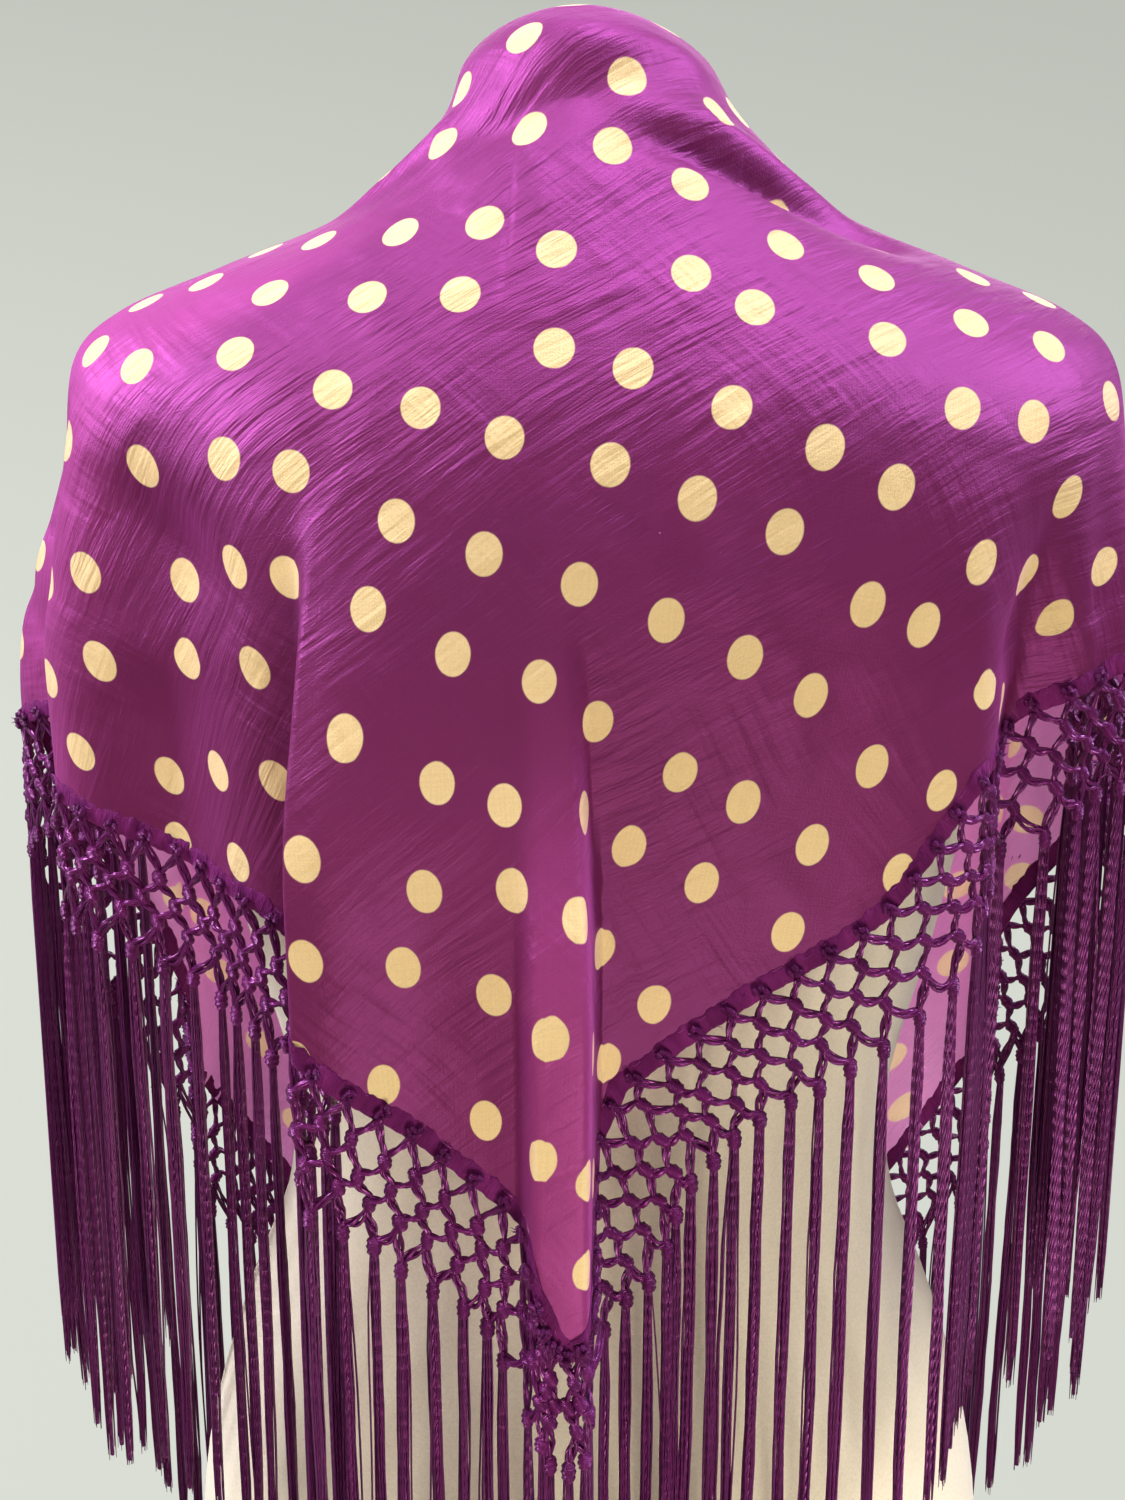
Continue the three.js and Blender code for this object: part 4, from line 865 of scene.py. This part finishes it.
def hem_material():
    m, nt, out = nodes_of("hem_cloth")
    L = nt.links.new
    uv = add(nt, "ShaderNodeUVMap", uv_map="cord").outputs[0]
    kind = add(nt, "ShaderNodeSeparateXYZ"); L(add(nt, "ShaderNodeUVMap", uv_map="shade").outputs[0], kind.inputs[0])
    thread = math_node(nt, "GREATER_THAN", kind.outputs[0], -0.5)
    n1 = noise(nt, rotated(nt, uv, 0.0, 4.0, 0.25), 1.0, 3.0)
    n2 = noise(nt, rotated(nt, uv, 0.0, 14.0, 2.0), 1.0, 3.0)
    pucker = noise(nt, rotated(nt, uv, 0.0, 3.0, 0.42), 1.0, 3.0, 0.6)
    patchy = noise(nt, rotated(nt, uv, 0.0, 1.0, 0.09), 1.0, 2.0)
    patchy = math_node(nt, "MULTIPLY", math_node(nt, "SUBTRACT", patchy, 0.40), 3.6, clamp=True)
    col = mix_colour(nt, patchy, lin(78, 15, 66), lin(126, 40, 108))
    col = mix_colour(nt, n1, col, lin(96, 24, 82))
    col = mix_colour(nt, thread, col, mix_colour(nt, kind.outputs[0], lin(120, 34, 104), lin(186, 92, 166)))
    b = add(nt, "ShaderNodeBsdfPrincipled"); L(col, b.inputs["Base Color"])
    b.inputs["Roughness"].default_value = 0.6; b.inputs["Specular IOR Level"].default_value = 0.2
    b.inputs["Sheen Weight"].default_value = 0.25; b.inputs["Sheen Roughness"].default_value = 0.45
    b.inputs["Sheen Tint"].default_value = (*lin(240, 110, 220), 1); b.inputs["Specular Tint"].default_value = (*lin(240, 150, 230), 1)
    bump = add(nt, "ShaderNodeBump"); bump.inputs["Strength"].default_value = 1.0; bump.inputs["Distance"].default_value = 0.0013
    L(math_node(nt, "ADD", math_node(nt, "MULTIPLY", n2, 0.25), pucker), bump.inputs["Height"]); L(bump.outputs[0], b.inputs["Normal"]); L(b.outputs[0], out.inputs["Surface"])
    return m


def cord_material(name, dark, light, rough):
    m, nt, out = nodes_of(name)
    L = nt.links.new
    uv = add(nt, "ShaderNodeUVMap", uv_map="cord").outputs[0]
    sh = add(nt, "ShaderNodeSeparateXYZ"); L(add(nt, "ShaderNodeUVMap", uv_map="shade").outputs[0], sh.inputs[0])
    sp = add(nt, "ShaderNodeSeparateXYZ"); L(uv, sp.inputs[0])
    # fine fibres winding along the cord
    wind = math_node(nt, "ADD", math_node(nt, "MULTIPLY", sp.outputs[0], 2 * math.pi * 5), math_node(nt, "MULTIPLY", sp.outputs[1], 1.1))
    fibre = math_node(nt, "MULTIPLY", math_node(nt, "ADD", math_node(nt, "SINE", wind), 1.0), 0.5)
    n1 = noise(nt, rotated(nt, uv, 0.0, 6.0, 0.12), 1.0, 3.0)
    # the shade value carries painted shade on the net's links (steep ones darker) and a random tone on knots and
    # tassels
    painted_shade_and_tone = math_node(nt, "ADD", math_node(nt, "MULTIPLY", sh.outputs[0], 0.5), math_node(nt, "MULTIPLY", n1, 0.5))
    col = mix_colour(nt, painted_shade_and_tone, dark, light)
    # painted shade: the grooves between the winding fibres are darkened
    col = mix_colour(nt, math_node(nt, "MULTIPLY", fibre, 0.35), col, tuple(c * 0.45 for c in dark))
    b = add(nt, "ShaderNodeBsdfPrincipled"); L(col, b.inputs["Base Color"])
    b.inputs["Roughness"].default_value = rough; b.inputs["Specular IOR Level"].default_value = 1.0
    b.inputs["Specular Tint"].default_value = (*lin(240, 134, 232), 1)
    b.inputs["Sheen Weight"].default_value = 0.08; b.inputs["Sheen Roughness"].default_value = 0.35
    b.inputs["Sheen Tint"].default_value = (*lin(220, 120, 230), 1)
    bump = add(nt, "ShaderNodeBump"); bump.inputs["Strength"].default_value = 0.7; bump.inputs["Distance"].default_value = 0.0004
    L(fibre, bump.inputs["Height"]); L(bump.outputs[0], b.inputs["Normal"]); L(b.outputs[0], out.inputs["Surface"])
    return m


def form_material():
    m, nt, out = nodes_of("form_jersey")
    L = nt.links.new
    pos = add(nt, "ShaderNodeTexCoord").outputs["Object"]
    slow = noise(nt, pos, 4.0, 3.0, dims="3D"); fine = noise(nt, pos, 900.0, 2.0, dims="3D")
    rib = noise(nt, rotated(nt, pos, 0.0, 500.0, 500.0), 1.0, 1.0, dims="3D")
    col = mix_colour(nt, slow, lin(236, 225, 200), lin(243, 234, 211))
    sh = math_node(nt, "ADD", 0.86, math_node(nt, "MULTIPLY", fine, 0.28))
    val = add(nt, "ShaderNodeCombineColor")
    for i in range(3):
        L(sh, val.inputs[i])
    col = mix_colour(nt, 1.0, col, val.outputs[0], "MULTIPLY")
    b = add(nt, "ShaderNodeBsdfPrincipled"); L(col, b.inputs["Base Color"]); b.inputs["Roughness"].default_value = 0.85
    b.inputs["Specular IOR Level"].default_value = 0.2; b.inputs["Sheen Weight"].default_value = 0.2; b.inputs["Sheen Roughness"].default_value = 0.5
    bump = add(nt, "ShaderNodeBump"); bump.inputs["Strength"].default_value = 0.3; bump.inputs["Distance"].default_value = 0.0004
    L(fine, bump.inputs["Height"]); L(bump.outputs[0], b.inputs["Normal"]); L(b.outputs[0], out.inputs["Surface"])
    return m


def plain_material(name, colour, rough=0.9):
    m, nt, out = nodes_of(name)
    b = add(nt, "ShaderNodeBsdfPrincipled"); b.inputs["Base Color"].default_value = (*colour, 1); b.inputs["Roughness"].default_value = rough
    b.inputs["Specular IOR Level"].default_value = 0.1
    nt.links.new(b.outputs[0], out.inputs["Surface"])
    return m


# ------------------------------------------------------------------ build
rng = np.random.default_rng(73)
cloth_ob, cloth_mats = shell()
cloth_ob.data.materials.append(cloth_material("shawl_cloth")); cloth_ob.data.materials.append(cloth_material("shawl_reverse", True))
cloth_ob.data.polygons.foreach_set("material_index", cloth_mats)
hem_mat = hem_material()
cord_mat = cord_material("cord_silk", lin(32, 4, 25), lin(124, 34, 110), 0.26)
silk_mat = cord_material("tassel_silk", lin(50, 8, 43), lin(108, 28, 92), 0.33)
pieces = [cloth_ob]
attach(cloth_ob, "root"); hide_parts("shawl_neck", "shawl_back_left", "shawl_back_right", "shawl_front_left", "shawl_front_right")
with_cloth = []
for side, spec in NETS.items():
    hem_line, net, tassels, count = net_and_tassels(side, spec, rng)
    print(side, "columns", count, "hem mm", round(hem_line.length))
    net.data.materials.append(cord_mat); tassels.data.materials.append(silk_mat)
    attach(net, "root"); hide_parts(f"net_back_{side}", f"net_front_{side}")
    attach(tassels, "root"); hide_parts(f"fringe_back_{side}", f"fringe_front_{side}")
    h = hem_piece(side, spec["sign"], rng); e = edge_piece(side, spec["sign"], rng)
    for ob, node in ((h, f"hem_{side}"), (e, f"edge_{side}")):
        ob.data.materials.append(hem_mat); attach(ob, "root"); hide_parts(node)
    with_cloth += [net, tassels, h, e]
form = form_piece(); form.data.materials.append(form_material())
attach(form, "root"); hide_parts("form_body")
for ob in [cloth_ob, form, *with_cloth]:
    print(ob.name, "triangles", sum(len(p.vertices) - 2 for p in ob.data.polygons))

# ------------------------------------------------------------------ stage, light and camera
def bowl():
    r = np.concatenate([[0.001, 1.0, 2.2], 2.2 + 2.2 * np.sin(np.linspace(0.1, np.pi / 2, 16)), [4.4, 4.4]])
    z = np.concatenate([[0, 0, 0], 2.2 - 2.2 * np.cos(np.linspace(0.1, np.pi / 2, 16)), [3.2, 4.4]])
    a = np.linspace(0, 2 * np.pi, 97)[:-1]
    v = np.stack([r[:, None] * np.cos(a), r[:, None] * np.sin(a), np.broadcast_to(z[:, None], (len(r), 96))], -1)
    return mesh_object("studio_floor", v.reshape(-1, 3) * 1000, [grid_faces(len(r), 96, close=True)])


def studio_material():
    """Pale floor and backdrop, their light painted in as an emitted glow: brightest on the floor, greyer higher up,
    darker to the right, as the studio lights fall on them.
    """
    m, nt, out = nodes_of("studio_painted_glow")
    L = nt.links.new
    sp = add(nt, "ShaderNodeSeparateXYZ"); L(add(nt, "ShaderNodeTexCoord").outputs["Object"], sp.inputs[0])
    up = math_node(nt, "MULTIPLY", sp.outputs[2], 0.75, clamp=True)
    right = math_node(nt, "MULTIPLY", math_node(nt, "ADD", sp.outputs[0], 1.5), 0.22, clamp=True)
    low = mix_colour(nt, right, lin(219, 223, 213), lin(196, 199, 191))
    col = mix_colour(nt, up, low, mix_colour(nt, right, lin(193, 196, 188), lin(180, 183, 175)))
    # the surface's own colour is near black; the emission carries the painted light
    b = add(nt, "ShaderNodeBsdfPrincipled"); b.inputs["Base Color"].default_value = (0.015, 0.015, 0.0145, 1); b.inputs["Roughness"].default_value = 0.95
    b.inputs["Specular IOR Level"].default_value = 0.0; b.inputs["Emission Strength"].default_value = 1.0
    L(col, b.inputs["Emission Color"]); L(b.outputs[0], out.inputs["Surface"])
    return m


floor = bowl(); floor.data.materials.append(studio_material())
floor.visible_shadow = False; floor.visible_diffuse = False; floor.visible_glossy = False; floor.visible_transmission = False


def area_light(name, at, look, size, power, colour=(1, 1, 1), size_y=None):
    d = bpy.data.lights.new(name, "AREA"); d.shape = "RECTANGLE"; d.size = size; d.size_y = size_y or size; d.energy = power; d.color = colour
    o = bpy.data.objects.new(name, d); bpy.context.scene.collection.objects.link(o)
    o.location = at; o.visible_camera = False
    v = np.array(look, float) - np.array(at, float)
    o.rotation_euler = (math.atan2(math.hypot(v[0], v[1]), -v[2]), 0, math.atan2(v[0], -v[1]) + math.pi if False else math.atan2(-v[0], v[1]))
    return o


area_light("key", (0.14, -0.07, 2.4), (0, -0.02, 0.8), 0.8, 29.5, (0.97, 0.95, 1.11))
area_light("fill", (-0.9, -2.4, 1.3), (0, 0, 0.6), 1.6, 12, (1.0, 0.86, 0.76))
area_light("left", (-1.5, 0.0, 1.75), (-0.2, 0, 0.75), 0.6, 50, (0.98, 0.97, 1.08))
area_light("right", (1.5, 0.1, 1.9), (0.2, 0, 0.75), 0.6, 31, (0.96, 0.97, 1.12))
area_light("low", (0.22, -0.95, 0.12), (0.02, -0.05, 0.32), 0.4, 8.2, (1.0, 0.93, 0.80))
area_light("far", (0.1, 2.3, 1.1), (0, 0.1, 0.55), 1.7, 50)
# ambient light: weak from the camera's side, stronger from the bright backdrop and floor
world = bpy.data.worlds.new("studio"); bpy.context.scene.world = world; world.use_nodes = True
wt = world.node_tree
wsep = add(wt, "ShaderNodeSeparateXYZ"); wt.links.new(add(wt, "ShaderNodeTexCoord").outputs["Generated"], wsep.inputs[0])
wfac = math_node(wt, "ADD", math_node(wt, "MULTIPLY", wsep.outputs[1], 0.55), 0.40, clamp=True)
wt.links.new(mix_colour(wt, wfac, (0.30, 0.25, 0.22), (1.0, 1.02, 1.0)), wt.nodes["Background"].inputs[0])
wt.nodes["Background"].inputs[1].default_value = 0.52
bpy.context.scene.view_settings.view_transform = "Standard"

cam = bpy.data.cameras.new("camera"); cam.sensor_width = 36; cam.lens = 50.4; cam.clip_start = 0.01
cam_ob = bpy.data.objects.new("camera", cam); bpy.context.scene.collection.objects.link(cam_ob)
cam_ob.location = (-0.012, -0.833, 0.909); cam_ob.rotation_euler = (math.radians(90 - 16.5), 0, 0)
bpy.context.scene.camera = cam_ob
